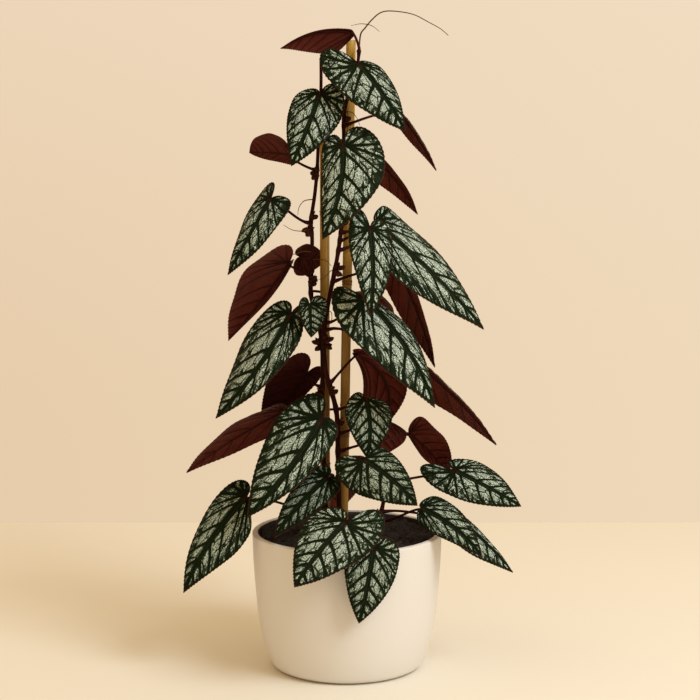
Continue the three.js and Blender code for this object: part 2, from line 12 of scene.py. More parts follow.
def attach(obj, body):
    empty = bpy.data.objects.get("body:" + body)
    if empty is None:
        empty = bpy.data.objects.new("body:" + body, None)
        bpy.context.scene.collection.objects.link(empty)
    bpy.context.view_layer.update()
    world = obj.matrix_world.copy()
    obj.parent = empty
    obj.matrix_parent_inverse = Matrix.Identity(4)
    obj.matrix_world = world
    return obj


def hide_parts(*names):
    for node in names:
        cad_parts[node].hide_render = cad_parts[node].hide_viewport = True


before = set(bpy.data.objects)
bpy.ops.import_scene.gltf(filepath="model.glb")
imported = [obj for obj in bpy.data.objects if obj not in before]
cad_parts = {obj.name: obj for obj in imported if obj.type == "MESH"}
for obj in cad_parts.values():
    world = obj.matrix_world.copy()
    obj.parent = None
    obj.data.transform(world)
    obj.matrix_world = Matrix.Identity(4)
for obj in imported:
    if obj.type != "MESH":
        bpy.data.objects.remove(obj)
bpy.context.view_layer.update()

MM = 0.001

# Pot, soil and canes, in millimetres. Points are (radius, height) or (x, y, z).
POT_WALL = 4.5
POT_FLOOR = 6
POT_FOOT = (0, 30, 52.5)        # radii of the rings under the pot
POT_CORNER = [(58.2, 9), (56, 7.5), (52, POT_FLOOR)]
POT_OUTSIDE = [
    (54, 0), (58.6, 2.2), (61.8, 6), (66.3, 19), (70.2, 39), (72.4, 61), (74.2, 85), (75, 107.6),
]
RIM = [(74.9, 108.2), (74.4, 108.7), (73.4, 109), (71.6, 109), (70.9, 108.8), (70.6, 108.2)]
SOIL_TOP = 104.5
SOIL_GAP = 0.6                  # between the soil and the pot's wall
CANE_RADIUS = 3.7
CANE_BEVEL = 0.3                # round the sawn end
CANE_HOLLOW = (1.7, 1.5)        # radius at the mouth and at the bottom
CANE_HOLLOW_DEPTH = 9
# Place above a knot, width and size of its two ridges and its groove
KNOT_SHAPE = ((0.9, 0.8, 0.55), (-1.3, 0.6, 0.4), (-0.3, 0.35, -0.12))
CANES = {
    "right": {"foot": (-4.6, 0, 20), "top": (3.2, 1, 493), "knots": (186, 306, 420)},
    "left": {"foot": (-17, 9, 20), "top": (-17.5, 8, 436), "knots": (160, 262, 360)},
}
STEM_BOTTOM = 66

# Stems: radius at the foot and at the top, and the centre line from inside the soil up
STEMS = {
    "left": {
        "radius": (2.2, 1.3),
        "line": [(-17, -1, STEM_BOTTOM), (-17, -1, 117), (-18, -1, 158), (-20, -1, 198), (-19, -1, 237),
                 (-20, -1, 262), (-25, -1, 283), (-28, -1, 296), (-28, -1, 312), (-27, -1, 339),
                 (-28, -1, 353), (-25, -1, 374), (-23, -1, 394), (-22, 0, 417), (-20, 1, 455),
                 (-20, 2, 480)],
    },
    "right": {
        "radius": (2.3, 1.3),
        "line": [(-6, -7, STEM_BOTTOM), (-6, -7, 117), (-7, -8, 174), (-8, -8.5, 204), (-13, -9, 225),
                 (-17, -9, 241), (-18, -9, 269), (-14, -8.5, 293), (-9, -8, 318), (-6, -7.5, 336),
                 (-4, -7.2, 353), (-3, -7, 378), (-2.5, -7, 409), (-2, -7, 436), (2, -7, 455),
                 (8, -6.5, 474), (9.5, -6, 488)],
    },
    "low": {
        "radius": (2.2, 1.4),
        "line": [(24, 2, STEM_BOTTOM), (24, 2, 105), (27, 1, 122), (30, 0, 138), (32, 0, 150)],
    },
}
TENDRILS = [
    ("right", 0.75, [(9.3, -6, 485), (10.5, -5, 497), (14, -5, 502), (19, -6, 508), (26, -7, 513.5),
                     (35, -9, 514.5), (50, -12, 512), (62, -14, 506), (71, -15, 501), (77, -15, 496)]),
    ("right", 0.4, [(16, -5.4, 504.6), (10, -6, 505), (3, -8, 503.5)]),
    ("right", 0.4, [(16, -5.4, 504.6), (20, -7, 503), (25, -9, 499)]),
    ("right", 0.45, [(-2, -7, 438), (4, -9, 438), (8, -11, 433), (10, -12, 428)]),
    ("right", 0.45, [(-9, -8, 318), (-13, -12, 316), (-18, -13, 311), (-22, -12, 310)]),
    ("right", 0.45, [(-16, -9, 286), (-12, -13, 284), (-12, -15, 278), (-15, -14, 275)]),
    ("left", 0.5, [(-26, -1, 371), (-33, -3, 370), (-37, -5, 365), (-38, -6, 359)]),
    ("left", 0.5, [(-28, -1, 349), (-34, -7, 347), (-42, -10, 348), (-49, -10, 352)]),
    ("left", 0.5, [(-27, -1, 324), (-22, -6, 325), (-16, -9, 324), (-12, -11, 320)]),
    ("left", 0.5, [(-27, -1, 330), (-34, -6, 331), (-41, -8, 329), (-45, -8, 332)]),
]

# Buds and dry scales: height on the stem and the way they point
BUDS = {
    "left": [(391, -6, -3, 1), (389, -4, -5, -3), (348, -9, -3, -2), (346, -5, -5, -4), (357, 6, -4, 2),
             (310, 6, -4, -3), (305, 5, -5, 2), (259, -9, -4, 2), (256, -6, -6, -3), (218, -6, -4, 3),
             (186, -6, -3, 3), (447, 5, -4, 2)],
    "right": [(318, 9, -3, 2), (315, 7, -5, -3), (262, 9, -3, 3), (258, 7, -5, -3), (221, 6, -4, 3),
              (196, 7, -3, 3), (353, 6, -4, 2), (404, 5, -4, 2), (432, 6, -3, 3), (450, 6, -3, 3)],
    "low": [(143, 3, -5, 4), (144, -4, -4, 3), (122, -6, -4, 2), (112, 6, -3, 2)],
}

# Leaves. root: where the stalk leaves the stem. at and tip: the blade's two ends. turn: degrees that
# the upper side is turned from the viewer. wide and lobe: half-widths and lobe lengths. bow and cup:
# how far the midrib arches and the margin drops. rounded: 1 for a blunt tip. slant: how far each
# half's base slopes towards the tip. sway: how far the midrib bends sideways.
Leaf = namedtuple("Leaf", "name stem root leave at tip turn wide lobe bow cup rounded slant sway",
                  defaults=(0, (0, 0), 0))
LEAVES = [
    Leaf("leaf_01", "right", 484, (0.1, -1, 0.35), (5.5, -10, 498.4), (-50.8, -8, 486.2), 150, (3, 16.4),
         (0.2, 2.8), 0.03, 0.25, slant=(0.03, 0.28), sway=-5.1),
    Leaf("leaf_02", "right", 462, None, (9.5, -24.5, 474.1), (44.1, -35, 424.2), 22, (13.8, 25.3),
         (4.8, 17.1), 0.06, 0.2, slant=(0.17, -0.2), sway=-0.1),
    Leaf("leaf_03", "left", 440, None, (-20.7, -16, 452), (-42.2, -30, 397.6), 12, (20.9, 19.6),
         (11.2, 5.4), 0.07, 0.2, slant=(-0.02, 0.13), sway=-1.9),
    Leaf("leaf_04", "right", 402, None, (-3, -30, 413.3), (-18.4, -50, 343.5), 22, (31.4, 19.4),
         (14.2, 10), 0.07, 0.2, slant=(-0.09, 0.06), sway=-7.6),
    Leaf("leaf_05", "left", 394, None, (-43, 8, 404.5), (-77, 30, 406), 150, (21.5, 7), (1, 1), 0.05, 0.3,
         rounded=0.5),
    Leaf("leaf_06", "left", 353, None, (-59, -6, 371.5), (-91.8, -14, 313.4), 42, (17.9, 16.5),
         (3.7, 13.2), 0.08, 0.2, slant=(-0.08, 0.02), sway=-5),
    Leaf("leaf_07", "left", 312, None, (-45.4, 12, 320), (-94.6, 30, 256.5), 135, (41.4, 5.6),
         (20.3, 11.8), 0.08, 0.2, slant=(0.08, 0.26), sway=7.9),
    Leaf("leaf_08", "left", 325, None, (-37, 16, 325), (-16, 26, 321), 165, (15, 12), (4, 6), 0.06, 0.2),
    Leaf("leaf_09", "right", 284, None, (-28.5, -31, 292.6), (-27.3, -35, 267.4), 10, (14.6, 8.2),
         (5.8, 5), 0.06, 0.2, slant=(-0.06, -0.05), sway=0.3),
    Leaf("leaf_10", "left", 286, None, (-43.3, -16, 283.1), (-101.1, -28, 203.5), 42, (17.1, 33.4),
         (13.1, 11), 0.06, 0.2, slant=(0.1, 0.12), sway=-10),
    Leaf("leaf_11", "right", 340, None, (17.5, -44, 351.2), (17.5, -62, 287), 20, (18.4, 16.5), (8, 14.5),
         0.06, 0.2, slant=(0, -0.02), sway=-0.5),
    Leaf("leaf_12", "right", 346, None, (21.4, -12, 353.7), (104.8, -28, 272.7), 50, (31.7, 25.6),
         (4.4, 4), 0.08, 0.2, slant=(-0.04, 0.3), sway=6.4),
    Leaf("leaf_13", "right", 276, None, (13.7, -30, 296.4), (66.6, -52, 215.8), 40, (16, 31.2),
         (3.9, 22.4), 0.07, 0.2, slant=(0.29, 0.08), sway=-2.2),
    Leaf("leaf_14", "right", 308, (1, -0.1, 0.2), (39, 12, 318), (70, 30, 235), 125, (23, 13), (8, 8),
         0.03, 0.2),
    Leaf("leaf_15", "right", 428, (1, -0.1, 0.2), (38, 8, 440), (70, 24, 392), 110, (15, 11), (7, 7), 0.03,
         0.2),
    Leaf("leaf_16", "right", 392, (1, -0.1, 0.2), (22, 12, 402), (56, 34, 357), 132, (16, 9), (8, 8), 0.05,
         0.2),
    Leaf("leaf_17", "right", 228, (1, -0.1, 0.9), (6, -2, 251.2), (30.9, 36, 186.1), 160, (21.3, 21.6),
         (6.4, 5.6), 0.06, 0.2, slant=(0.56, 0.02), sway=13.2),
    Leaf("leaf_18", "right", 208, None, (14.9, -26, 218), (15.3, -36, 173.7), 12, (18.9, 17.8), (3, 8.4),
         0.07, 0.2, slant=(0.09, 0.15), sway=-2),
    Leaf("leaf_19", "right", 270, (1, -0.5, 0.2), (58, 8, 239), (119, 18, 174), 120, (26, 12), (8, 6),
         0.03, 0.2),
    Leaf("leaf_20", "right", 188, (1, -0.1, 0.2), (32, 22, 193), (25, 36, 158), 160, (12, 19), (3, 1),
         0.06, 0.2, slant=(0, 0.25)),
    Leaf("leaf_21", "right", 174, (1, -0.1, 0.2), (49.1, 12, 185.2), (81.1, 26, 150), 150, (8.1, 25.3),
         (5.9, 3.3), 0.05, 0.2, rounded=0.3, slant=(0.45, -0.24), sway=0.2),
    Leaf("leaf_22", "low", 148, None, (84.8, -8, 158.6), (136.6, -16, 131.6), 35, (18.4, 19.6),
         (12.5, 19.3), 0.07, 0.2, slant=(0.22, -0.15), sway=1.5),
    Leaf("leaf_23", "low", 116, None, (57.4, -30, 133.3), (104.4, -46, 98.2), 25, (16.1, 13), (4, 2.7),
         0.07, 0.2, slant=(0.04, 0.12), sway=-3.1),
    Leaf("leaf_24", "low", 124, None, (86, -8, 121), (130, -22, 80), 55, (9, 20), (3, 6), 0.03, 0.2),
    Leaf("leaf_25", "right", 160, None, (13.1, -49, 175.3), (53.6, -68, 143.5), 15, (16.5, 24.7),
         (0.8, 16), 0.06, 0.2, slant=(0.01, -0.02), sway=-2),
    Leaf("leaf_26", "left", 192, None, (-19.3, -34, 203.5), (-76, -62, 133), 22, (16.4, 33.5), (5.1, 21.1),
         0.07, 0.2, slant=(0, 0.11), sway=-5.6),
    Leaf("leaf_27", "left", 122, None, (-78.1, -18, 140.2), (-127, -36, 67.3), 30, (21.8, 21.2),
         (2.5, 8.1), 0.07, 0.2, slant=(0.23, -0.03), sway=1.8),
    Leaf("leaf_28", "left", 146, None, (-14.6, -34, 158.3), (-55.3, -54, 115.3), 35, (14.6, 17.6),
         (5.1, 7.2), 0.06, 0.2, slant=(0.04, -0.02), sway=0.8),
    Leaf("leaf_29", "right", 122, None, (-1.4, -78, 132.9), (-39.1, -104, 89.6), 20, (28.1, 24),
         (19.4, 10.5), 0.06, 0.15, slant=(-0.14, 0.09), sway=0.8),
    Leaf("leaf_30", "low", 108, None, (20, -80, 114), (9, -86, 57), -10, (22, 20), (9, 4), 0.06, 0.15),
    Leaf("leaf_31", "left", 224, (-1, 0.1, 0.2), (-31.6, 18, 232.1), (-67.8, 38, 183.3), 150, (30.7, 10.8),
         (19, 7.1), 0.06, 0.2, slant=(0, -0.14), sway=3.8),
    Leaf("leaf_32", "left", 194, None, (-50, 8, 203), (-128, 16, 152), 125, (33, 22), (6, 5), 0.03, 0.2),
    Leaf("leaf_33", "left", 432, (-1, 0.4, 0.2), (-18, 22, 448), (-26, 66, 410), 165, (15, 15), (9, 9),
         0.08, 0.2),
    Leaf("leaf_34", "left", 416, (-0.7, 1, 0.1), (8, 36, 412), (9.8, 78.2, 373.3), 160, (16.7, 16.7),
         (9.7, 9.7), 0.08, 0.2),
    Leaf("leaf_35", "right", 332, (1, 0.1, 0.2), (36, 34, 342), (44, 90, 292), 160, (23, 23), (12, 12),
         0.08, 0.2),
    Leaf("leaf_36", "left", 298, (-0.2, 1, 0), (20, 44, 290), (28, 96, 240), 160, (20, 16), (12, 12), 0.08,
         0.2),
    Leaf("leaf_37", "left", 282, (-1, 0.2, 0.2), (-54, 32, 268), (-72.2, 74.6, 227), 155, (19, 19),
         (9.9, 9.9), 0.08, 0.2),
    Leaf("leaf_38", "left", 202, (-1, 0.45, 0.1), (14, 47, 202), (14, 93.8, 158.8), 165, (19.8, 19.8),
         (11.7, 11.7), 0.08, 0.2),
    Leaf("leaf_39", "left", 176, (-1, 0.3, 0.2), (-34, 42, 182), (-62, 99, 132), 155, (25, 25), (13, 13),
         0.08, 0.2),
    Leaf("leaf_40", "low", 144, None, (18, 53, 156), (30, 106, 110), 160, (25, 25), (13, 13), 0.08, 0.2),
    Leaf("leaf_41", "left", 126, (-1, 0.5, 0.1), (-10, 60, 140), (-16, 106, 88), 165, (22, 22), (11, 11),
         0.08, 0.2),
]

# One half of the leaf's outline. Across is in half-widths. Along is in lobe lengths behind the
# stalk (negative) and in blade lengths in front of it.
OUTLINE = [
    (0, 0), (0.09, -0.62), (0.3, -0.98), (0.58, -0.93), (0.84, -0.45),
    (0.98, 0.04), (1, 0.17), (0.95, 0.32), (0.84, 0.46), (0.69, 0.6),
    (0.51, 0.73), (0.32, 0.84), (0.15, 0.925), (0, 1),
]
ROUNDED = (0, 0.09, 0.3, 0.58, 0.84, 0.98, 1, 1, 0.97, 0.92, 0.83, 0.66, 0.42, 0)
VEIN_RUN = 0.4                  # how far a side vein climbs between the midrib and the margin
VEIN_BEND = 1.32                # above 1, side veins bend towards the tip near the margin
# Where side veins reach the outline, counted in its points, and where one more would after the tip
VEIN_AT = (1.1, 2.3, 3.5, 4.7, 5.8, 6.9, 7.9, 8.9, 9.8, 10.7, 11.5, 12.3)
VEIN_AFTER_TIP = 13.2
TEETH = 36                      # teeth along one half of the margin
ROWS_PER_TOOTH = 3
TOOTH_DEPTH = 0.6               # mm
COLUMNS = (0, 0.02, 0.06, 0.12, 0.2, 0.3, 0.41, 0.53, 0.65, 0.76, 0.86, 0.93, 0.97, 1)
BLADE_HALF_THICK = 0.3
FULL_LEAF = 85                  # mm; veins of a smaller leaf are finer
SMALLEST_SHARE = 0.35           # of a full leaf; below it the veins get no finer

# How wide the dark bands are (mm more), leaf by leaf, and how much painted shade dulls the silver and
# darkens the maroon underside, most on the lower leaves
USUAL_SHADE = (0.15, 0.1)
SHADES = {
    "leaf_26": (0.5, 0.2), "leaf_27": (0.4, 0.3), "leaf_28": (0.5, 0.5), "leaf_25": (0.5, 0.4),
    "leaf_23": (0.3, 0.2), "leaf_18": (0.5, 0.3), "leaf_29": (0.3, 0.2), "leaf_30": (0.4, 0.3),
    "leaf_09": (0.3, 0.3), "leaf_10": (0.3, 0.2), "leaf_03": (0.2, 0.1), "leaf_06": (0.2, 0.1),
    "leaf_02": (0.3, 0.1), "leaf_11": (0.2, 0.0), "leaf_31": (0, 0.75), "leaf_08": (0, 0.45),
    "leaf_01": (0, 0.35), "leaf_05": (0, 0.25), "leaf_17": (0, 0.1), "leaf_14": (0, 0.1),
}

# Stalks, stems, buds and scales, in millimetres
PETIOLE_RADIUS = 1.0
STEM_SHARE = 0.92               # of the part's radius, between the swollen nodes
BUDS_IN_CLUSTER = 6
BUD_ALONG = (0, 0.25, 0.6, 0.85, 1)
BUD_RADIUS = (1.3, 1.8, 2.1, 1.5, 0.3)
SCALES_PER_BUD = 5
SCALE_THICK = 0.25
SEED = 11

# Points round a ring
PETIOLE_SIDES = 12
STEM_SIDES = 20
TENDRIL_SIDES = 8
BUD_SIDES = 10
CANE_SIDES = 40
POT_SIDES = 160
SOIL_SIDES = 150

# Crumbs on the soil: how many to a square metre, sizes in millimetres, seed and colours
Crumb = namedtuple("Crumb", "name density smallest largest flatness seed dark light")
CRUMBS = [
    Crumb("peat_crumb", 95000, 0.5, 1.3, 0.8, 3, (0.006, 0.003, 0.002), (0.03, 0.015, 0.008)),
    Crumb("bark_chip", 9000, 1.3, 2.6, 0.45, 8, (0.012, 0.006, 0.003), (0.06, 0.028, 0.013)),
    Crumb("pale_chip", 2600, 0.8, 1.9, 0.5, 21, (0.04, 0.022, 0.012), (0.13, 0.08, 0.045)),
]

# Studio, in metres. Colours are linear.
CAMERA_PLACE = (0.0024, -1.5, 0.456)
CAMERA_TILT = 82.3              # degrees up from straight down
LENS = 99.4                     # mm
SENSOR = 36
FLOOR_HALF = 4
FLOOR_FRONT = -5
FLOOR_END = 0.507
FLOOR_COLOURS = ((0.83, 0.785, 0.675), (0.85, 0.805, 0.695))
KEY_PLACE = (1.3, -1.2, 1.65)
KEY_TARGET = (0, 0, 0.2)
KEY_SIZE = 1.2
KEY_WATTS = 39
KEY_COLOUR = (0.81, 0.91, 1)
# Painted light on the wall: brighter to the right and above
WALL_COLOURS = ((0.79, 0.6, 0.4), (0.86, 0.69, 0.49))
WALL_ABOVE = (0.92, 0.76, 0.6)
AMBIENT_COLOURS = ((0.44, 0.3, 0.16), (0.93, 0.7, 0.44))

# Merging, in metres
SEAM = 2e-6
SLIVER = 1e-7


# Smooth curves

def catmull(points, at):
    """Uniform Catmull-Rom through points at a position counted in intervals."""
    last = len(points) - 1
    i = min(int(at), last - 1)
    t = at - i
    near = (min(max(k, 0), last) for k in (i - 1, i, i + 1, i + 2))
    before, a, b, after = (np.array(points[k], float) for k in near)
    return 0.5 * (2 * a + (b - before) * t + (2 * before - 5 * a + 4 * b - after) * t * t
                  + (3 * a - before - 3 * b + after) * t ** 3)


def smooth_line(points, per_span):
    """The points of a smooth line through the given ones."""
    count = (len(points) - 1) * per_span
    return [catmull(points, i / per_span) for i in range(count + 1)]


def ease(low, high, value):
    """0 below low, 1 above high and a smooth climb between."""
    t = np.clip((value - low) / (high - low), 0, 1)
    return t * t * (3 - 2 * t)


def hump(offset, width):
    """1 at no offset, falling away smoothly over a few widths."""
    return np.exp(-(offset / width) ** 2)


# Node trees

def add_node(tree, kind, inputs=None, **settings):
    """A new node. Each input is a value or the socket that feeds it."""
    node = tree.nodes.new(kind)
    for key, value in settings.items():
        setattr(node, key, value)
    for key, value in (inputs or {}).items():
        if isinstance(value, bpy.types.NodeSocket):
            tree.links.new(value, node.inputs[key])
        else:
            node.inputs[key].default_value = value
    return node


def add(tree, kind, inputs=None, output=0, **settings):
    """One output of a new node."""
    return add_node(tree, kind, inputs, **settings).outputs[output]


def calc(tree, operation, a, b=None, c=None):
    values = {i: value for i, value in enumerate((a, b, c)) if value is not None}
    return add(tree, "ShaderNodeMath", values, operation=operation)


def plus(tree, a, b):
    return calc(tree, "ADD", a, b)


def minus(tree, a, b):
    return calc(tree, "SUBTRACT", a, b)


def times(tree, a, b):
    return calc(tree, "MULTIPLY", a, b)


def centred(tree, value, size):
    """A value from 0 to 1, spread from minus half the size to plus half."""
    return calc(tree, "MULTIPLY_ADD", value, size, -0.5 * size)


def weighted(tree, *parts):
    """The sum of values, each times its weight."""
    total = 0.0
    for value, weight in parts:
        total = calc(tree, "MULTIPLY_ADD", value, weight, total)
    return total


def step(tree, value, low, high):
    """0 below low, 1 above high, smooth between. With low above high, it falls from 1 to 0."""
    inputs = {"Value": value, "From Min": low, "From Max": high}
    return add(tree, "ShaderNodeMapRange", inputs, interpolation_type="SMOOTHSTEP")


def between(tree, value, low, high):
    """Straight from low at 0 to high at 1."""
    inputs = {"Value": value, "To Min": low, "To Max": high}
    return add(tree, "ShaderNodeMapRange", inputs)


def colour(value):
    return value if isinstance(value, bpy.types.NodeSocket) else (*value, 1)


def mix(tree, share, a, b):
    """Colour a, turning into colour b as share goes from 0 to 1."""
    colours = {6: colour(a), 7: colour(b), 0: share}
    return add(tree, "ShaderNodeMix", colours, 2, data_type="RGBA")


def tint(tree, base, share, strength, paint):
    """The base colour, painted over where share is 1, up to the given strength."""
    return mix(tree, times(tree, share, strength), base, paint)


def scaled(tree, vector, factors):
    return add(tree, "ShaderNodeVectorMath", {0: vector, 1: factors}, operation="MULTIPLY")


def noise(tree, vector, scale, detail=2.0, rough=0.5, distort=0.0):
    inputs = {"Vector": vector, "Scale": scale, "Detail": detail, "Roughness": rough, "Distortion": distort}
    return add(tree, "ShaderNodeTexNoise", inputs)


def cells(tree, vector, scale, feature="DISTANCE_TO_EDGE"):
    inputs = {"Vector": vector, "Scale": scale}
    return add(tree, "ShaderNodeTexVoronoi", inputs, "Distance", feature=feature)


def dots(tree, vector, scale, outside, inside):
    """Round dots: 0 farther than outside from a cell's middle, 1 within inside."""
    return step(tree, cells(tree, vector, scale, "F1"), outside, inside)


def material(name):
    """An empty material and its tree."""
    made = bpy.data.materials.new(name)
    made.use_nodes = True
    return made, made.node_tree


def finished(made, base, rough, relief=None, **fixed):
    """The material with its base colour, roughness and other values set on its shader.

    rough: a value or a socket. relief: a height socket, its strength and its depth in metres.
    """
    tree = made.node_tree
    shader = tree.nodes["Principled BSDF"]
    tree.links.new(base, shader.inputs["Base Color"])
    if isinstance(rough, bpy.types.NodeSocket):
        tree.links.new(rough, shader.inputs["Roughness"])
    else:
        shader.inputs["Roughness"].default_value = rough
    if relief:
        inputs = dict(zip(("Height", "Strength", "Distance"), relief))
        tree.links.new(add(tree, "ShaderNodeBump", inputs), shader.inputs["Normal"])
    for name, value in fixed.items():
        shader.inputs[name.replace("_", " ")].default_value = value
    return made


def object_place(tree):
    return add(tree, "ShaderNodeTexCoord", output="Object")


def height_of(tree, place):
    return add(tree, "ShaderNodeSeparateXYZ", {0: place}, 2)


def uv_pair(tree, name):
    """A UV map and its two numbers."""
    uv = add(tree, "ShaderNodeUVMap", uv_map=name)
    parts = add_node(tree, "ShaderNodeSeparateXYZ", {0: uv}).outputs
    return uv, parts[0], parts[1]


# Leaf materials. Colours are linear red, green and blue, and a pair is a range from dark to light.

BAND_GREEN = ((0.0022, 0.005, 0.0008), (0.008, 0.0145, 0.0025))
OPEN_GREEN = (0.036, 0.056, 0.022)      # the green between the silver flecks
RIB_GREEN = (0.02, 0.035, 0.012)
NOTCH_PLUM = (0.03, 0.007, 0.006)
SILVER = ((0.125, 0.175, 0.11), (0.76, 0.87, 0.73))
CLOUDY_SILVER = (0.25, 0.32, 0.24)
# Silver darkened as painted shade
SHADED_SILVER = (0.15, 0.19, 0.11)
RED_MARGIN = (0.05, 0.014, 0.008)
MAROON = ((0.07, 0.012, 0.0065), (0.16, 0.03, 0.017))
SHADED_MAROON = (0.018, 0.002, 0.0015)
VEIN_MAROON = (0.02, 0.003, 0.0018)
THREAD_MAROON = (0.035, 0.005, 0.005)
DUSTY_MAROON = (0.13, 0.025, 0.02)
CUT_EDGE = ((0.04, 0.012, 0.007), (0.09, 0.03, 0.014))
VEIN_WOBBLE = 0.9                       # mm
LADDER = (0.9, 1.5, 1)                  # small veins from one side vein to the next


def side_vein_distance(tree):
    """Millimetres to the nearest side vein, with a small wobble along it."""
    blade, _, _ = uv_pair(tree, "blade")
    _, w, _ = uv_pair(tree, "veins")
    _, pitch, _ = uv_pair(tree, "span")
    wobble = centred(tree, noise(tree, blade, 0.16, 1), VEIN_WOBBLE)
    moved = plus(tree, w, calc(tree, "DIVIDE", wobble, calc(tree, "MAXIMUM", pitch, 3)))
    return times(tree, calc(tree, "PINGPONG", moved, 0.5), pitch)


def leaf_upper():
    """Dark green along the veins, silver between them and a thin red-brown margin."""
    made, tree = material("leaf_upper")
    blade, across, _ = uv_pair(tree, "blade")
    veins, _, _ = uv_pair(tree, "veins")
    _, _, edge = uv_pair(tree, "span")
    _, along, outward = uv_pair(tree, "share")
    _, dark, painted_shade = uv_pair(tree, "kind")
    rib = calc(tree, "ABSOLUTE", across)
    side = side_vein_distance(tree)

    # Level rises from 0 on the dark bands to 1 midway between the veins
    inward = minus(tree, 1.0, outward)
    side_band = calc(tree, "MULTIPLY_ADD", calc(tree, "POWER", inward, 1.3), 1.25, 0.08)
    off_side = minus(tree, side, plus(tree, side_band, dark))
    rib_band = calc(tree, "MULTIPLY_ADD", minus(tree, 1.0, along), 1.5, 0.2)
    off_rib = minus(tree, rib, plus(tree, rib_band, dark))
    level = times(tree, step(tree, off_side, -0.3, 1.15), step(tree, off_rib, -0.3, 1.7))

    # Near the margin the silver breaks into blotches, and thin dark lines cross it everywhere
    streaks = step(tree, noise(tree, scaled(tree, veins, (3.0, 1.5, 1)), 1.0, 3, 0.6, 0.4), 0.6, 0.42)
    ladder = cells(tree, scaled(tree, veins, LADDER), 1.0)
    net = cells(tree, blade, 0.6)
    level = weighted(tree, (level, 1), (times(tree, streaks, step(tree, inward, 0.5, 0.0)), -0.9),
                     (step(tree, ladder, 0.07, 0.01), -0.6), (step(tree, net, 0.16, 0.02), -0.22),
                     (step(tree, edge, 2.2, 0.6), -0.7))
    blots = noise(tree, blade, 0.9, 4, 0.7)
    specks = noise(tree, blade, 2.4, 2, 0.7)
    ragged = plus(tree, centred(tree, blots, 2.6), centred(tree, specks, 2.2))
    silver = step(tree, plus(tree, level, ragged), 0.6, 1.1)

    green = mix(tree, noise(tree, blade, 0.3), *BAND_GREEN)
    green = tint(tree, green, level, 0.6, OPEN_GREEN)
    green = mix(tree, step(tree, rib, 0.22, 0.05), green, RIB_GREEN)
    notch = times(tree, step(tree, rib, 3.5, 0.5), step(tree, along, 0.1, 0.0))
    green = tint(tree, green, notch, 0.7, NOTCH_PLUM)
    pale = mix(tree, step(tree, level, 0.35, 1.0), *SILVER)
    pale = tint(tree, pale, noise(tree, blade, 0.12), 0.35, CLOUDY_SILVER)
    # Painted shade: the silver darkened leaf by leaf, most on the lower leaves
    pale = mix(tree, painted_shade, pale, SHADED_SILVER)
    base = mix(tree, silver, green, pale)
    base = tint(tree, base, step(tree, edge, 0.75, 0.25), 0.85, RED_MARGIN)

    relief = weighted(tree, (step(tree, net, 0.0, 0.25), 1), (step(tree, ladder, 0, 0.08), 1.2),
                      (step(tree, side, 0.0, 0.5), 1.2), (specks, 0.5))
    rough = between(tree, specks, 0.36, 0.52)
    return finished(made, base, rough, (relief, 0.7, 0.0003), Specular_IOR_Level=0.06)


def leaf_under():
    """Deep maroon with darker raised veins."""
    made, tree = material("leaf_under")
    blade, across, _ = uv_pair(tree, "blade")
    veins, _, _ = uv_pair(tree, "veins")
    _, along, outward = uv_pair(tree, "share")
    _, _, painted_shade = uv_pair(tree, "kind")
    off_vein = minus(tree, side_vein_distance(tree), between(tree, outward, 1.3, 0.4))
    off_rib = minus(tree, calc(tree, "ABSOLUTE", across), between(tree, along, 2.0, 0.5))
    vein = minus(tree, 1.0, step(tree, off_vein, -0.7, 1.2))
    midrib = minus(tree, 1.0, step(tree, off_rib, -0.7, 1.4))
    ladder = cells(tree, scaled(tree, veins, LADDER), 1.0)
    net = cells(tree, blade, 0.85)
    grain = noise(tree, blade, 3.0, 2, 0.6)

    base = mix(tree, noise(tree, blade, 0.12, 3, 0.6), *MAROON)
    # Painted shade: the maroon darkened leaf by leaf
    base = mix(tree, painted_shade, base, SHADED_MAROON)
    base = tint(tree, base, calc(tree, "MAXIMUM", vein, midrib), 0.85, VEIN_MAROON)
    base = tint(tree, base, step(tree, ladder, 0.06, 0.01), 0.25, THREAD_MAROON)
    base = tint(tree, base, step(tree, grain, 0.45, 0.7), 0.18, DUSTY_MAROON)

    relief = weighted(tree, (step(tree, net, 0.25, 0.0), 1), (step(tree, ladder, 0.08, 0), 1.3),
                      (grain, 0.6))
    rough = between(tree, grain, 0.5, 0.66)
    return finished(made, base, rough, (relief, 0.4, 0.00018), Specular_IOR_Level=0.06)


def leaf_margin():
    """The thin cut edge of the blade."""
    made, tree = material("leaf_margin")
    return finished(made, mix(tree, noise(tree, object_place(tree), 300), *CUT_EDGE), 0.5)


# Stem, cane, pot and soil materials

def vine_bark(name, dark, light, speck):
    """Smooth young bark with fine lengthwise streaks and small pale specks."""
    made, tree = material(name)
    place = object_place(tree)
    streaks = noise(tree, scaled(tree, place, (1, 1, 0.12)), 900, 3, 0.6)
    specks = dots(tree, scaled(tree, place, (1, 1, 0.5)), 700, 0.2, 0.08)
    base = mix(tree, streaks, dark, light)
    base = tint(tree, base, step(tree, noise(tree, place, 60, 2), 0.45, 0.65), 0.5, dark)
    base = tint(tree, base, specks, 0.6, speck)
    rough = between(tree, streaks, 0.45, 0.65)
    relief = plus(tree, streaks, specks)
    return finished(made, base, rough, (relief, 0.4, 0.00015), Specular_IOR_Level=0.06)


